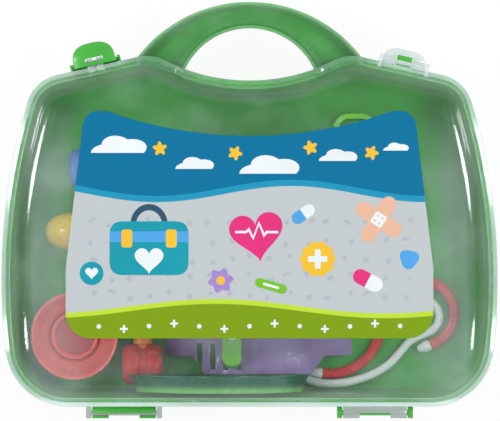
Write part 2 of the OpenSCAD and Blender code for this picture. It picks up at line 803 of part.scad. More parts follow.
module dish_body() {
    half = dish_n / 2;
    rings = len(dish_levels);
    last = (rings - 1) * dish_n;
    polyhedron(
        points = [for (l = dish_levels) each dish_ring(l[0], l[1])],
        faces = concat(
            [for (i = [0:half - 1]) let (c = dish_n - i - 1, d = (dish_n - i) % dish_n)
                i == 0 ? [0, c, 1] : i == half - 1 ? [i, d, i + 1] : [i, d, c, i + 1]],
            [for (l = [0:rings - 2], i = [0:dish_n - 1])
                let (j = (i + 1) % dish_n, a = l * dish_n, b = a + dish_n) [a + i, a + j, b + j, b + i]],
            [for (i = [0:half - 1]) let (c = dish_n - i - 1, d = (dish_n - i) % dish_n)
                i == 0 ? [last + c, last, last + 1] : i == half - 1 ? [last + d, last + i, last + i + 1]
                : [last + i, last + i + 1, last + c, last + d]]),
        convexity = 6);
}

module kidney_dish() {
    color([0.3, 0.7, 0.6]) translate([dish_x, dish_y - dish_h, dish_z + 0.725 * dish_b])
        rotate([-90, 0, 0]) dish_body();
}

// Hammer

collar_l = 8;

module hammer_head() {
    bevel = 2.5;
    color([0.85, 0.25, 0.2]) translate([hammer_x, hammer_y, hammer_z]) difference() {
        rotate([0, 90, 0]) translate([0, 0, -hammer_l / 2]) rotate_extrude($fn = 64) polygon([
            [0, 0], [hammer_r - bevel, 0], [hammer_r, bevel], [hammer_r, hammer_l * 0.36],
            [hammer_r - 2, hammer_l * 0.44], [hammer_r - 2, hammer_l * 0.56], [hammer_r, hammer_l * 0.64],
            [hammer_r, hammer_l - bevel], [hammer_r - bevel, hammer_l], [0, hammer_l]]);
        rotate([-90, 0, 0]) cylinder(r = hammer_rod_r - 0.8, h = hammer_r + 1);
    }
}

// Half outline of the hammer's handle as radius beyond its rod and height over the socket's foot
neck = hammer_r - 0.2;
handle_line = [[-1, 0], [-1, neck], [1.2, neck], [1.2, neck + 2.6], [-0.6, neck + collar_l],
    [0, neck + hammer_handle_l * 0.5], [1.6, neck + hammer_handle_l * 0.7],
    [1.8, neck + hammer_handle_l - 6], [0.2, neck + hammer_handle_l - 0.6],
    [-1.4, neck + hammer_handle_l]];

module hammer_handle() {
    color([0.98, 0.6, 0.2]) translate([hammer_x, hammer_y, hammer_z]) rotate([-90, 0, 0])
        translate([0, 0, 0.4]) rotate_extrude($fn = 48) polygon(concat([[0, 0]],
            [for (p = handle_line) [hammer_rod_r + p[0], p[1]]],
            [[0, neck + hammer_handle_l]]));
}

// Otoscope

oto_end = [-103, 37];

module oto_frame() {
    translate([oto_end[0], oto_end[1], floor_z + oto_r]) rotate([0, 90, 0]) children();
}

module otoscope_handle() {
    color(BLUE) oto_frame() difference() {
        rotate_extrude($fn = 64) polygon([[0, 0], [oto_r - 2, 0], [oto_r, 2], [oto_r, 8], [oto_r - 2.2, 12],
            [oto_r - 3, oto_l * 0.6], [oto_r - 1.6, oto_l - 3], [oto_r - 1.6, oto_l], [0, oto_l]]);
        for (i = [0:5]) rotate([0, 0, 60 * i]) translate([oto_r - 2.2, -0.8, 14]) cube([4, 1.6, oto_l - 26]);
    }
}

module otoscope_head() {
    color(BLUE) oto_frame() translate([0, 0, oto_l]) rotate_extrude($fn = 64) polygon([
        [0, 0], [oto_r - 0.4, 0], [oto_r, 1.5], [oto_r - 0.6, oto_head_l * 0.6],
        [6.5, oto_head_l], [0, oto_head_l]]);
}

module otoscope_cone() {
    color([0.1, 0.2, 0.45]) oto_frame() translate([0, 0, oto_l + oto_head_l]) difference() {
        cylinder(r1 = 6, r2 = 2.6, h = oto_cone_l);
        translate([0, 0, 1.5]) cylinder(r1 = 4.4, r2 = 1.6, h = oto_cone_l);
    }
}

// Thermometer, leaning on the edge of the arm band

therm_x = -10;
therm_foot_y = -18;
window_w = 4.8;
window_foot = 10;
window_head = 16;
scale_gap = 0.2;
band_edge_y = band_y + band_w / 2;
band_top = band_c + sqrt(pow(band_in_r + band_t, 2) - pow(therm_x + therm_w / 2 - band_x, 2));
therm_a = atan2(band_top + 0.3 - floor_z, therm_foot_y - band_edge_y);

module therm_frame() {
    translate([therm_x, therm_foot_y, floor_z]) rotate([-therm_a, 0, 0]) rotate([0, 0, 180]) children();
}

module thermometer() {
    color([0.45, 0.85, 0.2]) therm_frame() difference() {
        linear_extrude(therm_t) hull() {
            translate([-therm_w / 2, 0]) square([therm_w, 1]);
            translate([0, therm_l - therm_w / 2]) circle(r = therm_w / 2, $fn = 32);
        }
        translate([-window_w / 2, window_foot, therm_t - 1])
            cube([window_w, therm_l - window_foot - window_head, 2]);
    }
}

module thermometer_scale() {
    color(WHITE) therm_frame()
        translate([scale_gap - window_w / 2, window_foot + scale_gap, therm_t - 1])
        cube([window_w - 2 * scale_gap, therm_l - window_foot - window_head - 2 * scale_gap, 0.6]);
}

// Syringe, its plunger pulled along +Y

syringe_x = yoke_c[0] - 4;
syringe_y = 10;
flange_r = 8.4;

module syringe_frame() {
    translate([syringe_x, syringe_y, floor_z + flange_r]) rotate([-90, 0, 0]) children();
}

module syringe_barrel() {
    color([0.98, 0.85, 0.3]) syringe_frame() difference() {
        union() {
            translate([0, 0, -8]) cylinder(r1 = 2, r2 = 2.8, h = 8);
            cylinder(r1 = barrel_r - 2, r2 = barrel_r, h = 3);
            translate([0, 0, 3]) cylinder(r = barrel_r, h = barrel_l - 3);
            translate([0, 0, barrel_l - 2]) cylinder(r = flange_r, h = 2);
            translate([-flange_r - 3, -3, barrel_l - 2]) cube([2 * flange_r + 6, 6, 2]);
        }
        translate([0, 0, 3]) cylinder(r = barrel_r - barrel_t, h = barrel_l);
        translate([0, 0, -9]) cylinder(r = 1, h = 14, $fn = 24);
    }
}

piston_z = 4;

module syringe_plunger() {
    color([0.95, 0.35, 0.3]) syringe_frame() {
        translate([0, 0, piston_z]) cylinder(r = barrel_r - barrel_t - plunger_clear, h = 4);
        for (a = [0, 90]) rotate([0, 0, a]) translate([-4.6, -1, piston_z])
            cube([9.2, 2, barrel_l + 3 - piston_z]);
        translate([0, 0, barrel_l + 2]) cylinder(r = barrel_r - 0.4, h = 2.4);
    }
}

// Glasses, lying on their front with the temples folded

glasses_c = [3, 6];
pin_y = 9;
ear_gap = temple_w + 0.6;
hinge_out = eye_x + rim_r + 4.5;
knuckle_r = 2;
pin_z = floor_z + frame_t + knuckle_r + 0.2;

module glasses_frame() {
    color(LILAC) translate([glasses_c[0], glasses_c[1], 0]) {
        difference() {
            union() {
                for (s = [-1, 1]) translate([s * eye_x, 0, floor_z])
                    cylinder(r = rim_r, h = frame_t, $fn = 64);
                translate([0, 4, floor_z]) linear_extrude(frame_t)
                    square([2 * (eye_x - rim_r) + 6, 5], center = true);
                for (s = [-1, 1]) translate([s * (hinge_out - 4.5), pin_y, floor_z + frame_t / 2])
                    cube([13, ear_gap + 3, frame_t], center = true);
            }
            for (s = [-1, 1]) translate([s * eye_x, 0, floor_z - 1])
                cylinder(r = rim_r - rim_ring, h = frame_t + 2, $fn = 64);
        }
        for (s = [-1, 1]) glasses_ears(s);
    }
}

module glasses_ears(s) {
    for (y = [pin_y - ear_gap / 2 - 1.5, pin_y + ear_gap / 2]) translate([s * hinge_out, y, 0]) {
        translate([0, 0, pin_z]) rotate([-90, 0, 0]) cylinder(r = knuckle_r, h = 1.5);
        translate([-knuckle_r, 0, floor_z]) cube([2 * knuckle_r, 1.5, pin_z - floor_z]);
    }
    translate([s * hinge_out, pin_y - ear_gap / 2 - 1, pin_z]) rotate([-90, 0, 0])
        cylinder(r = temple_pin_r, h = ear_gap + 2, $fn = 32);
}

module temple(s) {
    color(LILAC) translate([glasses_c[0] + s * hinge_out, glasses_c[1] + pin_y, pin_z]) difference() {
        union() {
            translate([0, -temple_w / 2, 0]) rotate([-90, 0, 0]) cylinder(r = knuckle_r, h = temple_w);
            translate([0, 0, -temple_t / 2]) linear_extrude(temple_t) polygon([[0, -temple_w / 2],
                [-s * temple_l * 0.7, -temple_w / 2], [-s * temple_l, -temple_w / 2 - 6],
                [-s * temple_l, temple_w / 2 - 5], [-s * temple_l * 0.72, temple_w / 2], [0, temple_w / 2]]);
        }
        translate([0, -temple_w, 0]) rotate([-90, 0, 0])
            cylinder(r = temple_pin_r + 0.25, h = 2 * temple_w, $fn = 32);
    }
}

module temple_left() {
    temple(-1);
}

module temple_right() {
    temple(1);
}

// Scissors: two like halves, one turned over, on a rivet

rivet_p = [26, 50];
blade_gap = 0.3;

module scissor_half() {
    difference() {
        linear_extrude(blade_t) {
            difference() {
                union() {
                    hull() {
                        translate([loop_x - 3, loop_y]) circle(r = loop_r, $fn = 40);
                        translate([loop_x + 4, loop_y]) circle(r = loop_r, $fn = 40);
                    }
                    polygon([[-6, -4.5], [4, -5], [loop_x - 8, 3], [loop_x - 4, loop_y + 3], [2, 5],
                        [-6, 4.5]]);
                }
                hull() {
                    translate([loop_x - 3, loop_y]) circle(r = finger_r, $fn = 40);
                    translate([loop_x + 4, loop_y]) circle(r = finger_r, $fn = 40);
                }
            }
            polygon([[0, -4.5], [0, 4.5], [-blade_l * 0.6, 4], [-blade_l + 2, 1.6], [-blade_l, 0],
                [-blade_l + 2, -2.2], [-blade_l * 0.5, -4.2]]);
        }
        translate([0, 0, -1]) cylinder(r = rivet_r + blade_gap, h = blade_t + 2, $fn = 32);
    }
}

module scissor_lower() {
    color(GREEN) translate([rivet_p[0], rivet_p[1], floor_z]) mirror([0, 1, 0]) scissor_half();
}

module scissor_upper() {
    color(GREEN) translate([rivet_p[0], rivet_p[1], floor_z + blade_t + blade_gap]) scissor_half();
}

module scissor_rivet() {
    color(WHITE) translate([rivet_p[0], rivet_p[1], floor_z]) {
        cylinder(r = rivet_r, h = 2 * blade_t + 2 * blade_gap);
        translate([0, 0, 2 * blade_t + 2 * blade_gap])
            cylinder(r1 = rivet_r + 1.6, r2 = rivet_r + 0.8, h = 1.4);
    }
}

back_shell();
back_hinge_lugs();
back_hinge_clip();
back_latch_ears();
back_catch();
front_shell();
front_hinge_lugs();
front_hinge_clip();
front_latch_ears();
front_catch();
green_latch();
clear_latch();
front_label();
chest_piece();
chest_diaphragm();
chest_ring();
stethoscope_tube();
stethoscope_yoke();
ear_tube_left();
ear_tube_right();
ear_tips();
arm_band();
gauge_case();
gauge_dial();
gauge_needle();
pump_bulb();
pump_valve();
kidney_dish();
hammer_head();
hammer_handle();
otoscope_handle();
otoscope_head();
otoscope_cone();
thermometer();
thermometer_scale();
syringe_barrel();
syringe_plunger();
glasses_frame();
temple_left();
temple_right();
scissor_lower();
scissor_upper();
scissor_rivet();
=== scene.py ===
import math
import bmesh
import bpy
import numpy as np
from mathutils import Matrix


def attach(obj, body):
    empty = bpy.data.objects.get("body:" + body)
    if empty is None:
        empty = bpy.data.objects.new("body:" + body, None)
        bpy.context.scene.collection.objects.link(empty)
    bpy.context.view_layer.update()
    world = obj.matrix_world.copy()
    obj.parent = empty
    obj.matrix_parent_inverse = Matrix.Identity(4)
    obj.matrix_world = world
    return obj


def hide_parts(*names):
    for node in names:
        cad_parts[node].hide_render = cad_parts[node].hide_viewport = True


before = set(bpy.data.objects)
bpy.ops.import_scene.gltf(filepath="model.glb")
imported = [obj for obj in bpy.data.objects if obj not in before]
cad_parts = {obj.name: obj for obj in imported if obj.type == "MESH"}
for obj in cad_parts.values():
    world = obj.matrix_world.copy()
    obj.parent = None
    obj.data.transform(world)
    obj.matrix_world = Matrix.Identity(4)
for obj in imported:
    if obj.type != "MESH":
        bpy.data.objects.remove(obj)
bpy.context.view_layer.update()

scene = bpy.context.scene
scene.view_settings.view_transform = "Standard"
unit = 0.001    # shapes are worked out in millimetres, meshes are in metres

# metres; frameWidth fills the picture at the height of the rim
cameraSetup = {"centre": (0.00028, 0.01302), "rimHeight": 0.045, "distance": 3.0, "frameWidth": 0.283,
               "sensor": 36, "clip": (0.1, 20)}


def added(name, data):
    # a new object in the scene
    ob = bpy.data.objects.new(name, data)
    scene.collection.objects.link(ob)
    return ob


def makeCamera(c):
    # looks straight down; focal length is the sensor times the distance over the width of the frame
    cam = added("camera", bpy.data.cameras.new("camera"))
    cam.location = (*c["centre"], c["rimHeight"] + c["distance"])
    cam.data.sensor_width = c["sensor"]
    cam.data.lens = c["sensor"] * c["distance"] / c["frameWidth"]
    cam.data.clip_start, cam.data.clip_end = c["clip"]
    bpy.context.scene.camera = cam


makeCamera(cameraSetup)


def meshObject(name, verts, faces, mat, smooth=True, sharp=32):
    # a mesh from arrays; edges that turn by more than sharp degrees stay crisp
    me = bpy.data.meshes.new(name)
    me.from_pydata(np.asarray(verts, float).tolist(), [], faces)
    me.update()
    if smooth:
        me.polygons.foreach_set("use_smooth", np.ones(len(me.polygons), bool))
        me.set_sharp_from_angle(angle=math.radians(sharp))
    me.materials.append(mat)
    return added(name, me)


def fanVolume(corners):
    # six times the signed volume under polygons: fans of tetrahedra with their tip in the origin
    return np.einsum("ik,ijk->", corners[:, 0], np.cross(corners[:, 1:-1], corners[:, 2:]))


def closedSurface(name, grid, mat, wrapU=False, sharp=32):
    # grid[i, j]: j runs round a closed section, i along the body; quads join neighbours, and both ends get
    # flat faces unless the body is a ring; all faces turn over where the volume comes out negative
    nu, nv = grid.shape[:2]
    verts = grid.reshape(-1, 3)
    i, j = np.meshgrid(np.arange(nu if wrapU else nu - 1), np.arange(nv), indexing="ij")
    i1, j1 = (i + 1) % nu, (j + 1) % nv
    groups = [np.stack([i * nv + j, i1 * nv + j, i1 * nv + j1, i * nv + j1], -1).reshape(-1, 4)]
    if not wrapU:
        groups.append(np.stack([np.arange(nv), np.arange((nu - 1) * nv, nu * nv)[::-1]]))
    if sum(fanVolume(verts[g]) for g in groups) < 0:
        groups = [g[:, ::-1] for g in groups]
    return meshObject(name, verts, [f for g in groups for f in g.tolist()], mat, sharp=sharp)


def lengths(rows):
    # length of each row
    return np.linalg.norm(rows, axis=1, keepdims=True)


def fullTurn(n):
    # n angles, evenly round a circle
    return np.linspace(0, 2 * math.pi, n, endpoint=False)


def place(points, at, turn):
    # points of a local frame, whose axes are the rows of turn, moved to at
    return points @ np.asarray(turn, float) + at


def rounded(line, radius, steps=4, closed=False):
    # each corner gives way to a parabola that starts and ends a radius away, or at 0.45 of a shorter side
    p = np.asarray(line, float)
    back, ahead = np.roll(p, 1, 0) - p, np.roll(p, -1, 0) - p
    backLength, aheadLength = lengths(back), lengths(ahead)
    r = np.minimum(radius, 0.45 * np.minimum(backLength, aheadLength))
    start, end = (p + back / backLength * r)[:, None], (p + ahead / aheadLength * r)[:, None]
    t = np.linspace(0, 1, steps + 1)[:, None]
    curve = (1 - t) ** 2 * start + 2 * t * (1 - t) * p[:, None] + t * t * end
    if closed:
        return curve.reshape(-1, 2)
    return np.vstack([p[0], curve[1:-1].reshape(-1, 2), p[-1]])


def lathe(name, profile, mat, at, turn, radius, around):
    # (radius, height) pairs in millimetres, rounded and turned about the local z axis; a flat face closes
    # each end, so the pairs on the axis are left out
    line = rounded(np.array(profile) * unit, radius * unit)
    line = line[line[:, 0] > 1e-7]
    angle = fullTurn(around)
    grid = np.stack([line[:, 0, None] * np.cos(angle), line[:, 0, None] * np.sin(angle),
                     np.repeat(line[:, 1, None], around, 1)], -1)
    return closedSurface(name, place(grid, at, turn), mat)


def smoothPath(points, perSegment):
    # Catmull-Rom curve: a cubic between each two points, with their neighbours' slopes
    p = np.asarray(points, float)
    q = np.vstack([2 * p[0] - p[1], p, 2 * p[-1] - p[-2]])
    t = np.linspace(0, 1, perSegment, endpoint=False)[None, :, None]
    a, b, c, d = (q[i:len(p) - 1 + i][:, None] for i in range(4))
    curve = 0.5 * (2 * b + (c - a) * t + (2 * a - 5 * b + 4 * c - d) * t ** 2
                   + (3 * b - a - 3 * c + d) * t ** 3)
    return np.vstack([curve.reshape(-1, 3), p[-1]])


def tube(name, path, radius, mat, around):
    # circles square to the path, spanned by a level side and its upward partner
    along = np.gradient(path, axis=0)
    along /= lengths(along)
    side = np.cross([0, 0, 1.0], along)
    side /= lengths(side)
    up = np.cross(along, side)
    angle = fullTurn(around)[None, :, None]
    grid = path[:, None] + radius * (np.cos(angle) * side[:, None] + np.sin(angle) * up[:, None])
    return closedSurface(name, grid, mat)


edgeSetup = {"merge": 2e-6, "flat": 1.0, "segments": 2, "angle": 30}


def refined(node, mat, width):
    # a copy of a CAD node, merged, its flat areas joined, with a bevel on edges over the angle
    s = edgeSetup
    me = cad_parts[node].data.copy()
    bm = bmesh.new()
    bm.from_mesh(me)
    bmesh.ops.remove_doubles(bm, verts=bm.verts, dist=s["merge"])
    bmesh.ops.dissolve_limit(bm, angle_limit=math.radians(s["flat"]), verts=bm.verts, edges=bm.edges)
    bm.to_mesh(me)
    bm.free()
    me.polygons.foreach_set("use_smooth", np.ones(len(me.polygons), bool))
    me.materials.clear()
    me.materials.append(mat)
    ob = added(node + "Skin", me)
    bevel = ob.modifiers.new("edge", "BEVEL")
    bevel.width = width * unit
    bevel.segments = s["segments"]
    bevel.limit_method = "ANGLE"
    bevel.angle_limit = math.radians(s["angle"])
    bevel.use_clamp_overlap = True
    bevel.harden_normals = True
    return ob


def setInputs(nt, n, inputs):
    # an input is linked where a socket is given, and set otherwise; a colour gets its alpha
    for key, value in inputs.items():
        socket = n.inputs[key]
        if isinstance(value, bpy.types.NodeSocket):
            nt.links.new(value, socket)
        else:
            socket.default_value = (*value, 1) if socket.type == "RGBA" else value


def node(nt, kind, inputs, output=0):
    # adds a node and gives one of its outputs
    n = nt.nodes.new(kind)
    setInputs(nt, n, inputs)
    return n.outputs[output]


def newMaterial(name):
    # a material whose node tree is empty
    m = bpy.data.materials.new(name)
    m.use_nodes = True
    m.node_tree.nodes.clear()
    return m, m.node_tree


def surface(nt, shader, kind="ShaderNodeOutputMaterial"):
    # ends a tree in its output
    nt.links.new(shader, nt.nodes.new(kind).inputs["Surface"])


def calc(nt, op, *values, clamp=False):
    # one Math node
    n = nt.nodes.new("ShaderNodeMath")
    n.operation = op
    n.use_clamp = clamp
    setInputs(nt, n, dict(enumerate(values)))
    return n.outputs[0]


def product(nt, first, *rest):
    # all values multiplied, one after the other
    for value in rest:
        first = calc(nt, "MULTIPLY", first, value)
    return first


def fade(nt, value, edge, slope):
    # 0 to 1 across an edge: (value - edge) times slope, clamped; a negative slope turns it round
    return calc(nt, "MULTIPLY", calc(nt, "SUBTRACT", value, edge), slope, clamp=True)


def objectPlace(nt):
    # X, Y and Z in the piece's own metres
    n = nt.nodes.new("ShaderNodeSeparateXYZ")
    nt.links.new(nt.nodes.new("ShaderNodeTexCoord").outputs["Object"], n.inputs[0])
    return n.outputs


def objectNoise(nt, scale, detail, roughness=0.5):
    # cloudy noise from 0 to 1, so many blotches to a metre
    where = nt.nodes.new("ShaderNodeTexCoord").outputs["Object"]
    return node(nt, "ShaderNodeTexNoise", {
        "Vector": where, "Scale": scale, "Detail": detail, "Roughness": roughness}, "Fac")


def ramp(nt, fac, stops):
    # colours at stops from 0 to 1, blended between
    r = nt.nodes.new("ShaderNodeValToRGB")
    e = r.color_ramp.elements
    while len(e) < len(stops):
        e.new(0.5)
    for el, (pos, col) in zip(e, stops):
        el.position = pos
        el.color = (*col, 1)
    nt.links.new(fac, r.inputs["Fac"])
    return r.outputs["Color"]


def mapped(nt, value, low, high, start=0.0, end=1.0):
    # start to end becomes low to high
    return node(nt, "ShaderNodeMapRange", {
        "Value": value, "From Min": start, "From Max": end, "To Min": low, "To Max": high}, "Result")


def mixColor(nt, fac, a, b):
    # a where fac is 0, b where it is 1
    n = nt.nodes.new("ShaderNodeMix")
    n.data_type = "RGBA"
    setInputs(nt, n, {"Factor": fac, "A": a, "B": b})
    return n.outputs["Result"]


def mixShader(nt, fac, a, b):
    # shader a where fac is 0, b where it is 1
    return node(nt, "ShaderNodeMixShader", {"Fac": fac, 1: a, 2: b})


def bumpOf(nt, height, strength, distance):
    # tilts the normal by the slope of a height; distance in metres
    return node(nt, "ShaderNodeBump", {
        "Height": height, "Strength": strength, "Distance": distance}, "Normal")


def shade(color, k):
    # a colour times k, no brighter than white
    return tuple(min(1, c * k) for c in color)


# noises are scale and detail; the dye's stops, how far the roughness strays, and depths in metres
plasticGrain = {
    "mottle": (38, 4), "stops": (0.3, 0.7), "gloss": (160, 2), "glossLow": -0.06, "glossHigh": 0.08,
    "grain": (900, 2), "grainDepth": 0.0002, "coatRough": 0.08, "softRadius": (0.004, 0.003, 0.002)}


def plastic(name, color, rough=0.28, coat=0.25, spread=0.1, subsurface=0.0, bump=0.12, lip=None):
    # moulded plastic: the dye strays by spread, the gloss is uneven and fine noise makes an orange peel;
    # lip is a lighter colour that takes over from one object Y to another: a painted highlight along a rim
    g = plasticGrain
    m, nt = newMaterial(name)
    tones = (shade(color, 1 - spread), shade(color, 1 + spread))
    dye = ramp(nt, objectNoise(nt, *g["mottle"]), list(zip(g["stops"], tones)))
    if lip:
        # painted highlight: between two object Y the lighter lip colour takes over, where a rim catches
        # light
        litRim = mapped(nt, objectPlace(nt)["Y"], 0.0, 1.0, lip["from"], lip["to"])
        dye = mixColor(nt, litRim, dye, lip["color"])
    gloss = objectNoise(nt, *g["gloss"])
    inputs = {
        "Base Color": dye,
        "Roughness": mapped(nt, gloss, rough + g["glossLow"], rough + g["glossHigh"]),
        "Normal": bumpOf(nt, objectNoise(nt, *g["grain"]), bump, g["grainDepth"]),
        "Coat Weight": coat, "Coat Roughness": g["coatRough"]}
    if subsurface:
        inputs.update({
            "Subsurface Weight": subsurface, "Subsurface Radius": g["softRadius"], "Subsurface Scale": 1.0})
    surface(nt, node(nt, "ShaderNodeBsdfPrincipled", inputs))
    return m


# a fade is its place in metres and its slope; share is how much of the milkiness comes or goes there
clearSetup = {
    "tint": (0.94, 0.98, 0.99), "throughLight": (0.97, 0.98, 0.97), "haze": (22, 4, 0.6),
    "edgePower": 1.6, "flatPower": 4.0, "mirrorPower": 5.0, "flangeTop": (0.049, -1500),
    "dipY": (0.078, 150), "dipAcross": (0.078, -60), "dipShare": -0.75, "bottomHighlightY": (-0.0925, -400),
    "bottomHighlightShare": 0.9, "cloud": (0.45, 0.17), "veilFrom": (0.088, 45), "veilTo": (0.127, -150),
    "veilTop": (0.072, -25),
    "milkDark": 0.9, "milkRough": 0.35, "milkShine": 0.2, "glossNoise": (30, 2), "gloss": (0.05, 0.09),
    "ripple": (14, 1), "rippleStrength": 0.1, "rippleDepth": 0.0008, "mirrorStraight": 0.04,
    "mirrorSlanted": 0.2}


def clearPlastic(name, milk=(0.76, 0.85, 0.85), base=0.015, wall=0.035, rim=0.45, sideVeil=0.0):
    # thin clear moulding: see-through, milky by base everywhere, by wall where it is seen edge-on, by rim
    # in the flange and by a veil along the sides, a milky haze with painted sheen; it mirrors by a power of
    # the slant
    s = clearSetup
    m, nt = newMaterial(name)
    haze = objectNoise(nt, *s["haze"])
    x, y, z = objectPlace(nt)
    across = calc(nt, "ABSOLUTE", x)
    facing = node(nt, "ShaderNodeLayerWeight", {"Blend": 0.5}, "Facing")
    steep = product(nt, calc(nt, "POWER", facing, s["edgePower"]), wall)
    flat = calc(nt, "POWER", calc(nt, "SUBTRACT", 1.0, facing), s["flatPower"])
    # the flange is clearer along the dip under the handle; along the bottom it is milkier, a painted
    # highlight
    dip = product(nt, fade(nt, y, *s["dipY"]), fade(nt, across, *s["dipAcross"]), s["dipShare"])
    foot = product(nt, fade(nt, y, *s["bottomHighlightY"]), s["bottomHighlightShare"])
    flange = product(nt, fade(nt, z, *s["flangeTop"]), flat, calc(nt, "ADD", dip, 1.0),
                     calc(nt, "ADD", foot, 1.0), rim)
    # a veil along both sides: milky haze with painted sheen
    side = product(nt, fade(nt, across, *s["veilFrom"]), fade(nt, y, *s["veilTop"]),
                   fade(nt, across, *s["veilTo"]), sideVeil, calc(nt, "ADD", haze, 0.5))
    cloudAndVeil = calc(nt, "ADD", fade(nt, haze, *s["cloud"]), side)
    milky = calc(nt, "ADD", calc(nt, "ADD", calc(nt, "ADD", steep, flange), cloudAndVeil), base, clamp=True)
    see = node(nt, "ShaderNodeBsdfTransparent", {"Color": s["tint"]})
    body = node(nt, "ShaderNodeBsdfPrincipled", {
        "Base Color": ramp(nt, haze, [(0.3, shade(milk, s["milkDark"])), (0.7, milk)]),
        "Roughness": s["milkRough"], "Specular IOR Level": s["milkShine"]})
    gloss = node(nt, "ShaderNodeBsdfGlossy", {
        "Roughness": mapped(nt, objectNoise(nt, *s["glossNoise"]), *s["gloss"]),
        "Normal": bumpOf(nt, objectNoise(nt, *s["ripple"]), s["rippleStrength"], s["rippleDepth"])})
    slant = calc(nt, "POWER", facing, s["mirrorPower"])
    mirror = calc(nt, "ADD", product(nt, slant, s["mirrorSlanted"]), s["mirrorStraight"])
    coated = mixShader(nt, mirror, mixShader(nt, milky, see, body), gloss)
    # lamp light and bounced light pass straight through
    rays = nt.nodes.new("ShaderNodeLightPath").outputs
    passing = calc(nt, "MAXIMUM", rays["Is Shadow Ray"], rays["Is Diffuse Ray"])
    through = node(nt, "ShaderNodeBsdfTransparent", {"Color": s["throughLight"]})
    surface(nt, mixShader(nt, passing, coated, through))
    return m


# the record's slot, then what the finish needs
plastics = {
    "greenPlastic": ("green_plastic", {"color": (0.05, 0.355, 0.038), "rough": 0.3, "subsurface": 0.05}),
    "coralPlastic": ("coral_plastic", {"color": (0.86, 0.12, 0.1), "rough": 0.25}),
    "redPlastic": ("red_plastic", {"color": (0.72, 0.035, 0.03), "rough": 0.25}),
    "paleCoral": ("pale_coral_plastic", {"color": (0.47, 0.09, 0.1), "rough": 0.4}),
    "whiteTube": ("white_tube", {"color": (0.8, 0.8, 0.78), "rough": 0.4, "coat": 0.1, "subsurface": 0.1}),
    "whitePlastic": ("white_plastic", {"color": (0.8, 0.8, 0.78), "rough": 0.3}),
    "lilacPlastic": ("lilac_plastic", {"color": (0.36, 0.22, 0.5), "rough": 0.35}),
    "yellowPlastic": ("yellow_plastic", {"color": (0.9, 0.55, 0.03)}),
    # the dish's own teal, darkened as painted shade of its hollow; its lip colour is a painted highlight on
    # the rim
    "tealShadedPlastic": ("teal_plastic", {"color": (0.01, 0.1, 0.045), "rough": 0.25,
                                     "lip": {"from": -0.0862, "to": -0.0885, "color": (0.1, 0.4, 0.05)}}),
    "orangePlastic": ("orange_plastic", {"color": (0.88, 0.25, 0.03)}),
    "bluePlastic": ("blue_plastic", {"color": (0.03, 0.14, 0.52)}),
    "navyPlastic": ("navy_plastic", {"color": (0.01, 0.03, 0.14), "rough": 0.35}),
    "limePlastic": ("lime_plastic", {"color": (0.2, 0.62, 0.03)})}
clears = {
    "clearLid": {"sideVeil": 0.085},
    "clearEdge": {"milk": (0.36, 0.41, 0.38), "base": 0.6, "wall": 0.2, "rim": 0.1},
    "clearThick": {"milk": (0.66, 0.72, 0.7), "base": 0.34, "wall": 0.2, "rim": 0.1}}

mats, slotOf = {}, {}
for name, (slotName, look) in plastics.items():
    mats[name] = plastic(name, **look)
    slotOf[name] = slotName
for name, look in clears.items():
    mats[name] = clearPlastic(name, **look)
    slotOf[name] = "clear_plastic"
print("materials made")


def carried(ob, body, *nodes):
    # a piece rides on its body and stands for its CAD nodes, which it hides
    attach(ob, body)
    if nodes:
        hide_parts(*nodes)


tubeFacts = {"diameter": 4.8, "around": 20, "perSegment": 5, "route": [
    [86, -14, 5.4], [86, -11, 5.4], [86, -7, 4.8], [82.5, -0.5, 4.5], [75, 2.5, 4.5], [67, 0.5, 4.5],
    [61.5, -6, 4.5], [60, -15, 4.6], [62.5, -24, 6.2], [68, -31, 9], [75.2, -35.5, 11], [82, -37.3, 9],
    [90, -37.6, 5.8], [98, -37.7, 4.6], [104, -39.4, 4.5], [107.6, -43.3, 4.5], [108.8, -48, 4.5],
    [107.4, -52.8, 4.5], [103.5, -56.4, 4.5], [98, -58.6, 4.5], [92, -62, 4.5], [87, -67.5, 4.8],
    [80, -75, 5.6], [70, -81, 7.4], [58, -84.9, 9.2], [47, -86, 10.6], [38, -85.2, 10.6],
    [30, -82.2, 8.2], [24, -77.8, 5.6], [19, -73, 4.6], [12, -64, 4.5], [4, -55.5, 4.5], [-6, -50, 4.5],
    [-18, -47.4, 4.5], [-32, -45.6, 4.5], [-46, -43.4, 4.5], [-56, -41.4, 4.7], [-65, -40.6, 5.6],
    [-70, -41.7, 6.2], [-74.02, -43.6, 6.4]]}


def makeTube(t):
    # from the yoke round the right side and along the bottom to the chest piece's stub
    route = np.array(t["route"]) * unit
    diameter = t["diameter"] * unit
    path = smoothPath(route, t["perSegment"])
    ob = tube("stethoscopeTube", path, diameter / 2, mats["whiteTube"], t["around"])
    carried(ob, "tray", "stethoscope_tube")


makeTube(tubeFacts)


# millimetres and degrees; a half lies with its parting plane at 0 and its face at depth
case = {
    "width": 280.8, "bottom": 98.0, "depth": 45.0, "wall": 2.0, "rimWidth": 2.8, "rimHeight": 3.0,
    "rimRound": 0.45, "innerLean": (0.6, 6), "outerLean": (0.5, 7), "draft": 3.6, "edge": 10.6,
    "sideRadius": 350.0, "sideY": -26.0, "bottomRadius": 36.0, "cornerRadius": 22.3, "fall": 12.7,
    "shoulder": (87.0, 94.7), "humpRadius": 25.0, "saddleY": 86.6, "saddleRadius": 105.7}
handle = {
    "depth": 15.0, "width": 15.1, "crown": 4.4, "round": 0.9, "top": 131.2, "radius": 80.0, "footX": 66,
    "gripTop": 116.1, "gripRadius": 40.2, "gripFootX": 37.4, "sections": 57}


def reach(c, r, p, angle):
    # point r away from c on the line through p at that angle: the far root of a quadratic
    d = np.array([math.cos(angle), math.sin(angle)])
    w = p - c
    b = w @ d
    return p + d * (math.sqrt(b * b - w @ w + r * r) - b)


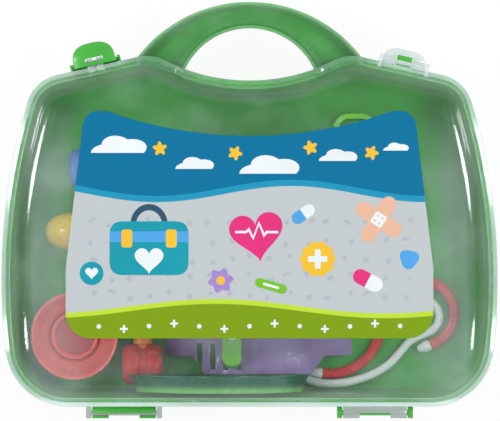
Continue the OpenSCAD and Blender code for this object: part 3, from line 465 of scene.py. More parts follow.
def arc(c, r, start, end, n, out=1):
    # points r away from c between two angles, each with its outward normal
    a = np.linspace(start, end, n)
    d = np.stack([np.cos(a), np.sin(a)], -1)
    return np.concatenate([c + r * d, out * d], -1)


def bearing(a, b):
    # angle of the line from a to b
    return math.atan2(b[1] - a[1], b[0] - a[0])


# centres of the outline's arcs, each found from the arcs or lines that it touches
fall = math.radians(case["fall"])
sideC = np.array([case["width"] / 2 - case["sideRadius"], case["sideY"]])
shoulderN = np.array([math.sin(fall), math.cos(fall)])
shoulderP = np.array(case["shoulder"])
saddleC = np.array([0, case["saddleY"] + case["saddleRadius"]])
bottomC = reach(sideC, case["sideRadius"] - case["bottomRadius"],
                np.array([0, case["bottomRadius"] - case["bottom"]]), 0)
cornerC = reach(sideC, case["sideRadius"] - case["cornerRadius"],
                shoulderP - case["cornerRadius"] * shoulderN, -fall)
humpC = reach(saddleC, case["saddleRadius"] + case["humpRadius"],
              shoulderP - case["humpRadius"] * shoulderN, -fall)
humpTurn = bearing(humpC, saddleC)


def makeOutline(c):
    # rows of point and normal: bottom, bowed side, corner, shoulder, hump, saddle, then their mirror image
    x = np.linspace(0, bottomC[0], 8)[:-1]
    one = np.ones_like(x)
    low, high = bearing(sideC, bottomC), bearing(sideC, cornerC)
    right = np.concatenate([
        np.stack([x, -c["bottom"] * one, 0 * one, -one], -1),
        arc(bottomC, c["bottomRadius"], -math.pi / 2, low, 22),
        arc(sideC, c["sideRadius"], low, high, 24)[1:],
        arc(cornerC, c["cornerRadius"], high, math.pi / 2 - fall, 18)[1:],
        arc(humpC, c["humpRadius"], math.pi / 2 - fall, humpTurn, 16),
        arc(saddleC, c["saddleRadius"], humpTurn - math.pi, -math.pi / 2, 18, -1)[1:]])
    left = right[-2:0:-1] * [-1, 1, -1, 1]
    return np.concatenate([right, left])


outline = makeOutline(case)


def topY(x, t):
    # top of the outline drawn in by t, at each x: circle of the saddle, circle of the hump, sloping line
    u = np.abs(x)
    saddleEnd = case["saddleRadius"] * math.cos(humpTurn - math.pi)
    humpEnd = humpC[0] + case["humpRadius"] * shoulderN[0]
    saddle = saddleC[1] - np.sqrt(np.maximum((case["saddleRadius"] + t) ** 2 - u * u, 0))
    hump = humpC[1] + np.sqrt(np.maximum((case["humpRadius"] - t) ** 2 - (u - humpC[0]) ** 2, 0))
    slope = shoulderP[1] - (u - shoulderP[0]) * math.tan(fall) - t / math.cos(fall)
    return np.where(u < saddleEnd, saddle, np.where(u < humpEnd, hump, slope))


def halfPlace(grid, half):
    # from a half's own frame to the case's, in metres: the front half is lifted, the back half turned over
    g = np.array(grid, float)
    if half == "front":
        g[..., 2] += case["depth"]
    else:
        g[..., 0] *= -1
        g[..., 2] = case["depth"] - g[..., 2]
    return g * unit


def shellGrid(c):
    # the outline drawn in by an inset t at a height z: down the inner wall, round the rim, up the outer
    # wall; the face edges are quarter circles, and both walls lean by the draft
    a = np.radians(np.linspace(0, 90, 13))
    top = c["depth"] - c["edge"]
    width, innerWall = c["rimWidth"], c["rimWidth"] + c["wall"]
    radius = c["edge"] - c["wall"]
    inner = np.stack([innerWall + c["draft"] + radius * (1 - np.cos(a)), top + radius * np.sin(a)], -1)
    radius = c["edge"]
    outer = np.stack([width + c["draft"] + radius * (1 - np.cos(a)), top + radius * np.sin(a)], -1)
    innerLean, innerTop = c["innerLean"]
    outerLean, outerTop = c["outerLean"]
    rim = rounded([[innerWall + innerLean, innerTop], [innerWall, 0], [0, 0], [0, c["rimHeight"]],
                   [width, c["rimHeight"] + 0.5], [width + outerLean, outerTop]], c["rimRound"])
    levels = np.concatenate([inner[::-1], rim[1:-1], outer])
    t, z = levels[:, 0, None], levels[:, 1, None]
    return np.stack([outline[:, 0] - t * outline[:, 2], outline[:, 1] - t * outline[:, 3],
                     np.broadcast_to(z, (len(levels), len(outline)))], -1)


def handleGrid(c, h):
    # closed section of a channel that is open below, carried from foot to foot between two arcs; a point
    # is (edge, distance from it, height), with edge 0 on the outer arc and 1 on the inner one
    d, w, e = h["depth"], c["wall"], h["crown"]
    outside = [(0, 0, 0), (0, 0.8, d - 4), (0, 1.9, d - 1.2), (0, e, d),
               (1, -e, d), (1, -1.9, d - 1.2), (1, -0.8, d - 4), (1, 0, 0)]
    inside = [(1, -w, 0), (1, -w - 0.6, d - 5), (1, -w - 1.2, d - 3), (1, -w - 3, d - w),
              (0, w + 3, d - w), (0, w + 1.2, d - 3), (0, w + 0.6, d - 5), (0, w, 0)]
    section = np.array(outside + inside)
    flat = np.stack([section[:, 0] * h["width"] + section[:, 1], section[:, 2]], -1)
    loop = rounded(flat, h["round"], 3, closed=True)
    u = np.linspace(-1, 1, h["sections"])

    def arch(top, radius, footX):
        # arc below its top, out to footX on both sides
        a = u * math.asin(footX / radius)
        return np.stack([radius * np.sin(a), top - radius + radius * np.cos(a)], -1)

    o = arch(h["top"], h["radius"], h["footX"])
    i = arch(h["gripTop"], h["gripRadius"], h["gripFootX"])
    length = lengths(i - o)
    # the left half of the section keeps its distance from the outer arc, the right half from the inner one
    f = np.where(loop[:, 0] < h["width"] / 2, loop[:, 0] / length, 1 + (loop[:, 0] - h["width"]) / length)
    xy = o[:, None] + f[..., None] * (i - o)[:, None]
    grid = np.concatenate([xy, np.broadcast_to(loop[:, 1], f.shape)[..., None]], -1)
    # both feet end inside the shell's wall
    foot = c["rimWidth"] + c["wall"] * 0.75
    grid[[0, -1], :, 1] = topY(grid[[0, -1], :, 0], foot)
    return grid


for half, body, matName in [("back", "tray", "greenPlastic"), ("front", "lid", "clearLid")]:
    for part, grid in [("Shell", shellGrid(case)), ("Handle", handleGrid(case, handle))]:
        ob = closedSurface(body + part, halfPlace(grid, half), mats[matName], sharp=40)
        carried(ob, body, half + "_shell")
print("case halves made")


def roundNodes(table):
    # CAD nodes whose shape is right: a copy of each in its material, its edges rounded in millimetres
    for name, (matName, width, *body) in table.items():
        carried(refined(name, mats[matName], width), body[0] if body else "tray", name)


roundNodes({
    "back_hinge_lugs": ("greenPlastic", 0.25), "back_hinge_clip": ("greenPlastic", 0.25),
    "back_latch_ears": ("greenPlastic", 0.25), "front_hinge_lugs": ("clearEdge", 0.25, "lid"),
    "front_hinge_clip": ("clearEdge", 0.25, "lid"), "front_latch_ears": ("clearThick", 0.25, "lid"),
    "front_catch": ("clearThick", 0.25, "lid")})

# millimetres out from the shoulder; window is half its width, then its lower and upper edge
latch = {
    "halfWidth": 12.0, "thick": 2.0, "foot": 0.6, "barZ": -5.5, "axisY": 1.4, "axisZ": 8.0, "knuckle": 2.5,
    "around": 40, "chamfer": 0.3, "domeFoot": 3.4, "domeSides": 0.75, "domeTop": 0.8, "bend": 0.6,
    "bendFrom": 6, "bendOver": 8, "frameTop": -0.8, "frameMiddle": -3.0}
greenLatch = {**latch, "top": 13.4, "window": (5.1, 2.6, 4.9), "knuckles": [(-12.0, 12.0)]}
clearLatch = {**latch, "top": 9.6, "window": (4.8, 2.6, 6.3), "knuckles": [(-12.0, -5.3), (5.3, 12.0)]}
catch = {"halfWidth": 4.4, "round": 0.4, "chamfer": 0.3, "taper": 0.93, "section": [
    (-2, 3.4), (-3.2, 5.15), (0, 5.15), (5.9, 4.15), (5.9, 2.25), (0, 1.25), (0, 2.95)]}


def onShoulder(grid, half, side):
    # from the frame on the shoulder (x along it, y outwards) to the case's, turned by the fall
    g = np.array(grid, float)
    a = -side * fall
    x = side * shoulderP[0] + g[..., 0] * math.cos(a) - g[..., 1] * math.sin(a)
    y = shoulderP[1] + g[..., 0] * math.sin(a) + g[..., 1] * math.cos(a)
    g[..., 0], g[..., 1] = x, y
    return halfPlace(g, half)


def anglesAbout(centre, points):
    # bearing of each point from the centre
    return np.arctan2(points[:, 1] - centre[1], points[:, 0] - centre[0])


def castRays(poly, centre, angles):
    # where rays from the centre leave a closed outline that is star-shaped about it: the nearest crossing
    # of each ray with any of its sides
    p = np.asarray(poly, float) - centre
    q = np.roll(p, -1, 0) - p
    d = np.stack([np.cos(angles), np.sin(angles)], -1)[:, None]
    cross = d[..., 0] * q[:, 1] - d[..., 1] * q[:, 0]
    cross = np.where(np.abs(cross) < 1e-12, 1e-12, cross)
    far = (p[:, 0] * q[:, 1] - p[:, 1] * q[:, 0]) / cross
    along = (p[:, 0] * d[..., 1] - p[:, 1] * d[..., 0]) / cross
    far = np.where((far > 0) & (along >= -1e-9) & (along <= 1 + 1e-9), far, np.inf).min(1)
    return centre + far[:, None] * d[:, 0]


def holedPlate(name, outer, inner, centre, low, high, mat, mapper, soft):
    # plate between two heights with a window: rings of points, one for each bearing about the centre, that
    # go from the window to the rim and back; soft rounds the outer edges
    angles = np.unique(np.concatenate([
        np.linspace(-math.pi, math.pi, 97)[:-1], anglesAbout(centre, inner), anglesAbout(centre, outer)]))
    angles = angles[np.r_[True, np.diff(angles) > 1e-4]]
    o, w = castRays(outer, centre, angles), castRays(inner, centre, angles)
    inward = (centre - o) / lengths(centre - o) * soft
    third = soft * 0.3
    rings = [(w, low), (o + inward, low), (o + inward * 0.3, low + third), (o, low + soft),
             (o, high - soft), (o + inward * 0.3, high - third), (o + inward, high), (w, high)]
    grid = np.stack([np.concatenate([r, np.full((len(r), 1), z)], 1) for r, z in rings])
    return closedSurface(name, mapper(grid), mat, wrapU=True, sharp=50)


def makeLatch(c, half, body, mat, label):
    # lip with a domed outline that bends back near its top, plate with its window, knuckle on the axis
    t = np.linspace(0, math.pi, 48)
    w, low = c["halfWidth"], c["barZ"] - c["thick"]
    wx, w0, w1 = c["window"]
    dome = np.stack([w * np.sign(np.cos(t)) * np.abs(np.cos(t)) ** c["domeSides"],
                     c["domeFoot"] + (c["top"] - c["domeFoot"]) * np.sin(t) ** c["domeTop"]], -1)
    outer = np.concatenate([[[-w, c["foot"]], [w, c["foot"]]], dome])
    inner = np.array([(-wx, w0), (wx, w0), (wx, w1), (-wx, w1)])

    def lipPlace(g):
        # the lip bends back by the square of the way up
        bend = c["bend"] * np.clip((g[..., 1] - c["bendFrom"]) / c["bendOver"], 0, 1) ** 2
        return onShoulder(np.stack([g[..., 0], g[..., 1], g[..., 2] + bend], -1), half, 1)

    def platePlace(g):
        # the plate stands upright: its thickness is along y
        return onShoulder(np.stack([g[..., 0], g[..., 2], g[..., 1]], -1), half, 1)

    middle = np.array([0, (w0 + w1) / 2])
    pieces = [holedPlate(label + "Lip", outer, inner, middle, low, c["barZ"], mat, lipPlace, 0.35)]
    outer = np.array([(-w, low + 0.2), (w, low + 0.2), (w, c["axisZ"]), (-w, c["axisZ"])])
    inner = np.array([(-wx, c["barZ"]), (wx, c["barZ"]), (wx, c["frameTop"]), (-wx, c["frameTop"])])
    pieces.append(holedPlate(label + "Plate", outer, inner, np.array([0, c["frameMiddle"]]), c["foot"],
                             c["foot"] + c["thick"], mat, platePlace, 0.2))
    a = fullTurn(c["around"])
    e = c["chamfer"]
    r = (c["knuckle"] - np.array([e, 0, 0, e]))[:, None]
    for letter, (x0, x1) in zip("AB", c["knuckles"]):
        xs = np.array([x0, x0 + e, x1 - e, x1])[:, None]
        grid = np.stack([np.broadcast_to(xs, (4, c["around"])), c["axisY"] + r * np.cos(a),
                         c["axisZ"] + r * np.sin(a)], -1)
        pieces.append(closedSurface(label + "Knuckle" + letter, onShoulder(grid, half, 1), mat))
    for ob in pieces:
        carried(ob, body, body)


makeLatch(greenLatch, "back", "green_latch", mats["greenPlastic"], "greenLatch")
makeLatch(clearLatch, "front", "clear_latch", mats["clearThick"], "clearLatch")


def makeCatch(c):
    # one green nose, seen through the window of the clear latch: a rounded section of a hook, a little
    # smaller at both ends
    line = rounded(c["section"], c["round"], 3, closed=True)
    w, e = c["halfWidth"], c["chamfer"]
    xs = np.array([-w, -w + e, w - e, w])
    keep = np.array([c["taper"], 1, 1, c["taper"]])[:, None]
    mid = line.mean(0)
    grid = np.stack([np.broadcast_to(xs[:, None], (4, len(line))), mid[0] + keep * (line[:, 0] - mid[0]),
                     mid[1] + keep * (line[:, 1] - mid[1])], -1)
    ob = closedSurface("greenCatch", onShoulder(grid, "back", -1), mats["greenPlastic"])
    carried(ob, "tray", "back_catch")


makeCatch(catch)
print("hinges and latches made")


flatTurn = ((1, 0, 0), (0, 1, 0), (0, 0, 1))
chest = {
    "centre": (-100, -58.6), "floor": 2, "radius": 25, "height": 22, "recess": 15.3, "wall": 1.6,
    "lip": 2.4, "flare": 3.6, "stubAngle": 30, "stubRadius": 3.4, "stubHeight": 4.4, "around": 72,
    "disc": [(0, 0), (13.6, 0), (13.6, 1), (12.6, 1.3), (11.2, 1.15), (0, 1.25)], "discHeight": 4,
    "ring": [(10.6, 0), (13.6, 0), (13.6, 2.4), (11.8, 2.4), (10.9, 1)], "ringHeight": 5.2}


def makeChestPiece(c):
    # bell, stub and disc are turned about their axes, the ring is a small section carried round
    r, h, q, w = c["radius"], c["height"], c["recess"], c["wall"]
    flare, lip = r - c["flare"], h - c["lip"]
    at = np.array([*c["centre"], c["floor"]]) * unit
    coral = mats["coralPlastic"]
    lift = np.array([0, 0, unit])
    bell = [(0, 0), (q - 1, 0), (q + 0.4, 1.4), (q + w, 0.35 * h), (flare, 0.55 * h),
            (r - 0.6, lip), (r, lip), (r, h), (r - w, h), (flare - 2, 0.55 * h + w),
            (q, 0.35 * h + w), (q - 1.4, 4), (0, 4)]
    carried(lathe("chestBell", bell, coral, at, flatTurn, 1.6, 96), "tray", "chest_piece")
    a = math.radians(c["stubAngle"])
    turn = ((-math.sin(a), math.cos(a), 0), (0, 0, 1), (math.cos(a), math.sin(a), 0))
    s, start = c["stubRadius"], q - 0.3
    stub = [(0, start), (s + 0.6, start), (s + 0.6, start + 3), (s, start + 4), (s, 25), (s + 0.5, 25.6),
            (s + 0.5, 27.4), (s, 28), (s, 30), (0, 30)]
    ob = lathe("chestStub", stub, coral, at + c["stubHeight"] * lift, turn, 0.4, 40)
    carried(ob, "tray", "chest_piece")
    n = c["around"]
    ob = lathe("chestDisc", c["disc"], mats["paleCoral"], at + c["discHeight"] * lift, flatTurn, 0.5, n)
    carried(ob, "tray", "chest_diaphragm")
    loop = rounded(np.array(c["ring"]) * unit, 0.5 * unit, 3, closed=True)
    angle = fullTurn(n)[:, None]
    grid = np.stack([np.cos(angle) * loop[:, 0], np.sin(angle) * loop[:, 0],
                     np.broadcast_to(loop[:, 1], (n, len(loop)))], -1)
    grid = place(grid, at + c["ringHeight"] * lift, flatTurn)
    carried(closedSurface("chestRing", grid, coral, wrapU=True), "tray", "chest_ring")


makeChestPiece(chest)

# each tube is an arc between two angles, then goes straight on
earTubes = {
    "rod": 3.0, "height": 5.0, "around": 24,
    "right": {"centre": (99, -46), "radius": 18.6, "arc": (-75, 75), "leaves": 165, "straight": (4.5, 9)},
    "left": {"centre": (46, -51.4), "radius": 29.2, "arc": (-98, 0), "straight": (6, 13), "bendRadius": 8,
             "bendRise": 20, "bend": (180, 120)}}


def arcRoute(c, r, ends, n, height):
    # level arc about c between two angles in degrees
    a = np.radians(np.linspace(*ends, n))
    return np.stack([c[0] + r * np.cos(a), c[1] + r * np.sin(a), np.full(n, height)], -1)


def makeEarTubes(e):
    # the right tube ends in the yoke, the left one bends back to it
    s, height = e["right"], e["height"]
    leaves = math.radians(s["leaves"])
    d = np.array([math.cos(leaves), math.sin(leaves), 0])
    right = arcRoute(s["centre"], s["radius"], s["arc"], 40, height)
    right = np.vstack([right, *(right[-1] + d * far for far in s["straight"])])
    s = e["left"]
    x, y = s["centre"][0] + s["radius"], s["centre"][1]
    bendC = (x + s["bendRadius"], y + s["bendRise"])
    left = np.vstack([arcRoute(s["centre"], s["radius"], s["arc"], 40, height),
                      [[x, y + far, height] for far in s["straight"]],
                      arcRoute(bendC, s["bendRadius"], s["bend"], 10, height)])
    for label, route in (("Right", right), ("Left", left)):
        ob = tube("earTube" + label, route * unit, e["rod"] * unit, mats["redPlastic"], e["around"])
        carried(ob, "tray", "ear_tube_" + label.lower())


makeEarTubes(earTubes)

roundNodes({
    "stethoscope_yoke": ("redPlastic", 0.8), "ear_tips": ("whitePlastic", 0.6),
    "arm_band": ("lilacPlastic", 0.6), "gauge_case": ("yellowPlastic", 0.3),
    "gauge_dial": ("whitePlastic", 0.1), "gauge_needle": ("redPlastic", 0.1),
    "pump_bulb": ("yellowPlastic", 0.2), "pump_valve": ("whitePlastic", 0.2),
    "kidney_dish": ("tealShadedPlastic", 0.2), "hammer_head": ("redPlastic", 0.6),
    "hammer_handle": ("orangePlastic", 0.4), "otoscope_handle": ("bluePlastic", 0.4),
    "otoscope_head": ("bluePlastic", 0.4), "otoscope_cone": ("navyPlastic", 0.2),
    "thermometer": ("limePlastic", 0.5), "thermometer_scale": ("whitePlastic", 0.1),
    "syringe_barrel": ("yellowPlastic", 0.3), "syringe_plunger": ("redPlastic", 0.3, "plunger"),
    "glasses_frame": ("lilacPlastic", 0.4), "temple_left": ("lilacPlastic", 0.3, "temple_left"),
    "temple_right": ("lilacPlastic", 0.3, "temple_right"), "scissor_lower": ("limePlastic", 0.4),
    "scissor_upper": ("limePlastic", 0.4, "scissor_upper"), "scissor_rivet": ("whitePlastic", 0.3)})
print("play tools made")


# metres; a band begins at a wavy border: its height, swing, wavelength and phase, then the side it covers
labelSetup = {
    "pale": (0.42, 0.45, 0.455), "sharpness": 3000, "underside": (0.0901, 100000), "rough": (0.26, 0.34),
    "roughNoise": (20, 1), "shine": 0.25, "coat": 0.05, "coatRough": 0.12, "bands": [
        (0.022, 0.0045, 0.15, 0.6, "above", (0.01, 0.24, 0.4)),
        (0.0255, 0.0045, 0.15, 0.6, "above", (0.0, 0.135, 0.265)),
        (-0.0405, 0.004, 0.19, 2.2, "below", (0.42, 0.58, 0.03)),
        (-0.0432, 0.004, 0.19, 2.2, "below", (0.17, 0.28, 0.004))]}


def labelMaterial(name, s):
    # satin card: over the pale ground lie bands of colour, each beyond a border at
    # height + swing * sin(2 pi x / wavelength + phase)
    m, nt = newMaterial(name)
    x, y, z = objectPlace(nt)
    color = s["pale"]
    for height, swing, wavelength, phase, side, ink in s["bands"]:
        turn = calc(nt, "ADD", product(nt, x, 2 * math.pi / wavelength), phase)
        border = calc(nt, "ADD", product(nt, calc(nt, "SINE", turn), swing), height)
        cover = fade(nt, y, border, s["sharpness"])
        if side == "below":
            cover = calc(nt, "SUBTRACT", 1.0, cover)
        color = mixColor(nt, cover, color, ink)
    # the print is on top only: below the middle of the plate the card is bare
    color = mixColor(nt, fade(nt, z, *s["underside"]), s["pale"], color)
    surface(nt, node(nt, "ShaderNodeBsdfPrincipled", {
        "Base Color": color, "Roughness": mapped(nt, objectNoise(nt, *s["roughNoise"]), *s["rough"]),
        "Specular IOR Level": s["shine"], "Coat Weight": s["coat"], "Coat Roughness": s["coatRough"]}))
    return m


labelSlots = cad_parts["front_label"].data.materials
labelSlots.clear()
labelSlots.append(labelMaterial("labelPrint", labelSetup))
print("label printed")


inks = {
    "inkTeal": (0.0, 0.26, 0.33), "inkMagenta": (0.62, 0.02, 0.16), "inkYellow": (0.74, 0.43, 0.02),
    "inkWhite": (0.66, 0.69, 0.7), "inkSky": (0.06, 0.3, 0.62), "inkLilac": (0.3, 0.2, 0.5),
    "inkSkin": (0.66, 0.38, 0.26), "inkLeaf": (0.14, 0.42, 0.02), "inkDark": (0.02, 0.07, 0.12),
    "inkFaint": (0.35, 0.385, 0.43)}
for name, color in inks.items():
    mats[name] = plastic(name, color, rough=0.3, coat=0.15, spread=0.05, bump=0.04)
    slotOf[name] = "printed_label"


def ringPoints(fx, fy, n=64):
    # closed outline from two functions of the turn t, which runs from 0 to 2 pi
    t = fullTurn(n)
    return np.stack([fx(t), fy(t)], -1)


def disc(r, n=40):
    # circle
    return ringPoints(lambda t: r * np.cos(t), lambda t: r * np.sin(t), n)


def heart(r):
    # the usual curve: 16 sin^3 t across, 13 cos t - 5 cos 2t - 2 cos 3t - cos 4t upwards
    return r / 16 * ringPoints(
        lambda t: 16 * np.sin(t) ** 3,
        lambda t: 13 * np.cos(t) - 5 * np.cos(2 * t) - 2 * np.cos(3 * t) - np.cos(4 * t), 72)


def flower(r, petals, depth, n=96):
    # circle whose radius swells by depth once for each petal
    return ringPoints(lambda t: r * (1 + depth * np.cos(petals * t)) * np.cos(t),
                      lambda t: r * (1 + depth * np.cos(petals * t)) * np.sin(t), n)


def pill(length, r):
    # two half circles a length apart
    a = np.linspace(-math.pi / 2, math.pi / 2, 14)
    right = np.stack([length / 2 + r * np.cos(a), r * np.sin(a)], -1)
    return np.concatenate([right, -right])


def bar(w, h, r):
    # rectangle w by h with rounded corners
    return rounded(np.array([(-w, -h), (w, -h), (w, h), (-w, h)]) / 2, r, 5, closed=True)


def plus(r, w):
    # cross of two bars w wide that reach r from its middle
    h = w / 2
    corners = [(h, h), (h, r), (-h, r), (-h, h), (-r, h), (-r, -h),
               (-h, -h), (-h, -r), (h, -r), (h, -h), (r, -h), (r, h)]
    return rounded(corners, w * 0.2, 3, closed=True)


def spin(points, degrees):
    # points turned about the origin
    a = math.radians(degrees)
    return np.asarray(points) @ np.array([[math.cos(a), math.sin(a)], [-math.sin(a), math.cos(a)]])


prints = {}


def printed(color, points, at, turn=0.0, level=0):
    # gathers an outline, in millimetres, for the mesh of its ink; level lifts it over what it covers
    prints.setdefault(color, []).append((spin(points, turn) + np.asarray(at, float), level))


def printPlaster(at, r, turn):
    # two crossed strips with a pad and its four holes
    for a in (45, -45):
        printed("inkSkin", pill(1.7 * r, 0.36 * r), at, a + turn, 1 if a < 0 else 0)
    printed("inkWhite", bar(0.6 * r, 0.6 * r, 0.1 * r), at, 45 + turn, 2)
    for dx, dy in ((-1, -1), (1, -1), (1, 1), (-1, 1)):
        hole = np.array(at) + spin([[0.13 * r * dx, 0.13 * r * dy]], 45 + turn)[0]
        printed("inkSkin", disc(0.05 * r, 12), hole, 0, 3)


def printCapsule(at, r, turn, color):
    # white pill with a coloured left half
    whole = pill(2.2 * r, r)
    printed("inkWhite", whole, at, turn)
    printed(color, np.concatenate([[[0, r]], whole[whole[:, 0] < 0], [[0, -r]]]), at, turn, 1)


def printBag(at, r):
    # a doctor's bag: arched handle, body, strap with two buckles and a heart
    at = np.array(at, float)
    t = np.linspace(0, math.pi, 32)
    arch = np.stack([np.cos(t), 1.1 * np.sin(t)], -1)
    printed("inkDark", np.concatenate([0.52 * r * arch, 0.36 * r * arch[::-1]]), at + [0, 0.66 * r])
    printed("inkTeal", bar(2.2 * r, 1.5 * r, 0.36 * r), at, 0, 1)
    printed("inkSky", bar(2.2 * r, 0.3 * r, 0.02 * r), at + [0, 0.32 * r], 0, 2)
    for side in (-1, 1):
        printed("inkYellow", bar(0.3 * r, 0.5 * r, 0.08 * r), at + [0.62 * side * r, 0.27 * r], 0, 3)
    printed("inkWhite", heart(0.4 * r), at + [0, -0.3 * r], 0, 2)


def printPulse(at, w, h, thick, color, level):
    # heartbeat line: a zigzag given its thickness, mitred at the turns
    x = np.array([-1, -0.5, -0.36, -0.16, 0.1, 0.34, 0.46, 1]) * w
    y = np.array([0, 0, 0.3, -0.7, 1, -0.35, 0, 0]) * h
    line = np.stack([x, y], -1)
    run = np.diff(line, axis=0)
    run /= lengths(run)
    flank = np.stack([-run[:, 1], run[:, 0]], -1)
    a, b = flank[np.r_[0, :len(flank)]], flank[np.r_[:len(flank), -1]]
    off = (a + b) / np.maximum(1 + (a * b).sum(1, keepdims=True), 0.45) * thick / 2
    printed(color, np.concatenate([line + off, (line - off)[::-1]]), at, 0, level)


def printCloud(at, w):
    # half an ellipse on a flat foot, whose radius swells two and a half times
    t = np.linspace(0, math.pi, 60)
    r = 1 + 0.26 * np.abs(np.sin(2.5 * t))
    printed("inkWhite", np.stack([w * 0.5 * r * np.cos(t), w * 0.3 * r * np.sin(t)], -1), at, 0, 1)


# millimetres: where a motif is and how large; clouds and stars follow the blue band, signs the green one
labelArt = {
    "bag": ((-56, -8), 20), "heart": ((4, 0), 15), "pulse": ((4, 1), 12, 5, 1.3), "badge": ((38, -14), 9.5),
    "plaster": ((72, 8), 12), "skyCapsule": ((30, 11), 3.4), "pinkCapsule": ((66, -26), 4.2),
    "flower": ((-16, -26), 6.2), "drop": ((89, -14), 5.2), "strip": ((12, -29), 13),
    "button": ((-88, -22), 6.6), "clouds": ((-72, 26), (-30, 18), (12, 28), (50, 18), (82, 12)),
    "stars": (-50, -8, 34, 68), "signs": (-84, 90, 14),
    "specks": {"x": (-88, 90, 11), "y": (-34, 16, 10), "stray": 2, "turn": 40}}


def printSpecks(s):
    # faint small shapes, strewn about a square grid
    rng = np.random.default_rng(7)
    shapes = [plus(1.9, 1.1), heart(1.9), pill(2.6, 0.9), disc(1.2, 20), flower(1.5, 5, 0.3, 50)]
    for gx in np.arange(*s["x"]):
        for gy in np.arange(*s["y"]):
            shape = shapes[int(rng.integers(0, 5))]
            spot = (gx + rng.uniform(-s["stray"], s["stray"]), gy + rng.uniform(-s["stray"], s["stray"]))
            printed("inkFaint", shape, spot, rng.uniform(-s["turn"], s["turn"]), -1)


def printLabel(art):
    # large motifs, each with what lies on it, then the rows on the two bands
    printSpecks(art["specks"])
    printBag(*art["bag"])
    at, r = art["heart"]
    printed("inkMagenta", heart(r), at, 8, 1)
    printPulse(*art["pulse"], "inkWhite", 2)
    at, r = art["badge"]
    printed("inkYellow", flower(r, 10, 0.06), at, 0, 1)
    printed("inkWhite", plus(5.4, 3.2), at, 0, 2)
    printPlaster(*art["plaster"], 12)
    printCapsule(*art["skyCapsule"], 35, "inkSky")
    printCapsule(*art["pinkCapsule"], -28, "inkMagenta")
    at, r = art["flower"]
    printed("inkLilac", flower(r, 6, 0.16), at, 10, 1)
    printed("inkYellow", disc(2.4), at, 0, 2)
    at, r = art["drop"]
    printed("inkSky", flower(r, 3, 0.12), at, 20, 1)
    at, length = art["strip"]
    printed("inkLeaf", pill(length, 2.6), at, -16, 1)
    printed("inkWhite", pill(8, 0.7), at, -16, 2)
    at, r = art["button"]
    printed("inkTeal", disc(r), at, 0, 1)
    printed("inkWhite", heart(3.6), (at[0], at[1] + 0.4), 0, 2)
    for x, w in art["clouds"]:
        printCloud((x, 40 - 7 * math.cos(x / 30)), w)
    for x in art["stars"]:
        printed("inkYellow", flower(3.2, 5, 0.28, 60), (x, 47 + 2 * math.sin(x)), x, 1)
    for x in np.arange(*art["signs"]):
        sign = plus(2.2, 1.2) if round(x / 14) % 2 else disc(1.3, 20)
        printed("inkWhite", sign, (x, -51.5 + 1.5 * math.sin(x / 9)), 0, 1)


# millimetres; step is how much higher a motif stands for each level
plate = {"base": 90.25 + 0.02, "step": 0.012}


def makePrints(p):
    # each motif is a plate between two copies of its outline; all of one ink are one mesh
    for color, shapes in prints.items():
        verts, faces, count = [], [], 0
        for pts, level in shapes:
            area = np.sum(pts[:, 0] * np.roll(pts[:, 1], -1) - pts[:, 1] * np.roll(pts[:, 0], -1))
            rim = pts if area > 0 else pts[::-1]
            n = len(rim)
            height = np.repeat([0.0, (level + 2) * p["step"]], n)
            verts.append(np.column_stack([np.tile(rim, (2, 1)), height]))
            ids = count + np.arange(n)
            faces += [ids[::-1].tolist(), (ids + n).tolist()]
            faces += np.stack([ids, np.roll(ids, -1), np.roll(ids, -1) + n, ids + n], 1).tolist()
            count += 2 * n
        v = (np.concatenate(verts) + [0, 0, p["base"]]) * unit
        carried(meshObject("print" + color[3:], v, faces, mats[color], smooth=False), "lid")


printLabel(labelArt)
makePrints(plate)
print("label motifs made")


stageSetup = {"size": 3.0, "height": -0.0001, "mottle": (2, 2), "white": 0.86, "glow": 0.9}


def makeFloor(s):
    # a white square that keeps the case's shadow; the camera also sees it glow
    m, nt = newMaterial("floorWhite")
    tones = [(0.0, (s["white"],) * 3), (1.0, (s["white"] * 1.02,) * 3)]
    white = ramp(nt, objectNoise(nt, *s["mottle"]), tones)
    rays = nt.nodes.new("ShaderNodeLightPath").outputs
    seen = product(nt, calc(nt, "MAXIMUM", rays["Is Camera Ray"], rays["Is Transmission Ray"]), s["glow"])
    surface(nt, mixShader(nt, seen, node(nt, "ShaderNodeBsdfDiffuse", {"Color": white}),
                          node(nt, "ShaderNodeEmission", {"Color": (1, 1, 1), "Strength": 1.0})))
    e, z = s["size"], s["height"]
    meshObject("floor", [(-e, -e, z), (e, -e, z), (e, e, z), (-e, e, z)], [[0, 1, 2, 3]], m)


makeFloor(stageSetup)

# the fill lights the case; camera and gloss see white, darker towards the zenith
skySetup = {"fill": (0.9, 0.95, 1), "fillStrength": 0.55, "seen": [
    (0.0, (1, 1, 1)), (0.55, (0.8, 0.8, 0.8)), (0.85, (0.12, 0.12, 0.12))]}


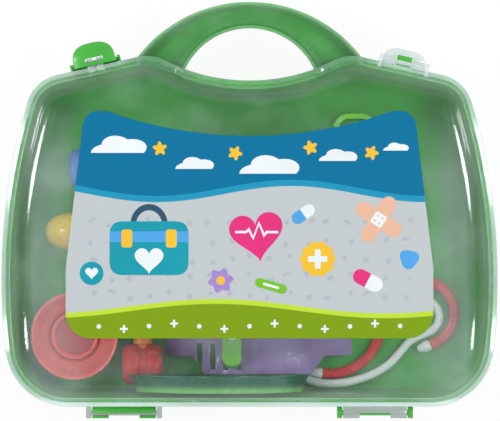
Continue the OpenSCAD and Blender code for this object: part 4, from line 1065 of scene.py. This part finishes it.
def makeWorld(s):
    # one background or the other, by the kind of ray
    w = bpy.data.worlds.new("studio")
    scene.world = w
    w.use_nodes = True
    nt = w.node_tree
    nt.nodes.clear()
    fill = node(nt, "ShaderNodeBackground", {"Color": s["fill"], "Strength": s["fillStrength"]})
    up = node(nt, "ShaderNodeSeparateXYZ", {0: node(nt, "ShaderNodeTexCoord", {}, "Generated")}, "Z")
    white = node(nt, "ShaderNodeBackground", {"Color": ramp(nt, up, s["seen"]), "Strength": 1.0})
    rays = nt.nodes.new("ShaderNodeLightPath").outputs
    seen = calc(nt, "MAXIMUM", rays["Is Camera Ray"], rays["Is Glossy Ray"])
    surface(nt, mixShader(nt, seen, fill, white), "ShaderNodeOutputWorld")


makeWorld(skySetup)

# name: bearing and height in degrees, distance and size in metres, watts, and whether gloss mirrors it
lamps = {
    "backBox": (90, 52, 1.7, (0.9, 0.6), 7, False),
    "leftBox": (215, 50, 1.7, (0.7, 0.5), 3, False),
    "rightBox": (325, 50, 1.7, (0.7, 0.5), 3, False),
    "leftStrip": (168, 57, 1.3, (0.14, 0.42), 3.6, True),
    "rightStrip": (12, 57, 1.3, (0.14, 0.42), 3.6, True),
    "leftEdge": (164, 10, 1.3, (0.14, 0.16), 1.5, True),
    "rightEdge": (16, 10, 1.3, (0.14, 0.16), 1.5, True),
    "leftSpot": (190.5, 52, 1.3, (0.06, 0.3), 1.3, True),
    "rightSpot": (-10.5, 52, 1.3, (0.06, 0.3), 1.3, True)}


def makeLamp(name, azimuth, height, away, size, power, mirrored):
    # elliptical area lamp that looks at the middle of the case; its first side lies level
    light = bpy.data.lights.new(name, "AREA")
    light.shape = "ELLIPSE"
    light.size, light.size_y = size
    light.energy = power
    ob = added(name, light)
    ob.visible_glossy = mirrored
    a, h = math.radians(azimuth), math.radians(height)
    back = np.array([math.cos(a) * math.cos(h), math.sin(a) * math.cos(h), math.sin(h)])
    side = np.array([-math.sin(a), math.cos(a), 0])
    m = Matrix([[*r, 0] for r in np.stack([side, np.cross(back, side), back], 1)] + [[0, 0, 0, 1]])
    m.translation = away * back + np.array([0, 0, 0.05])
    ob.matrix_world = m


for name, lamp in lamps.items():
    makeLamp(name, *lamp)
print("lamps set")
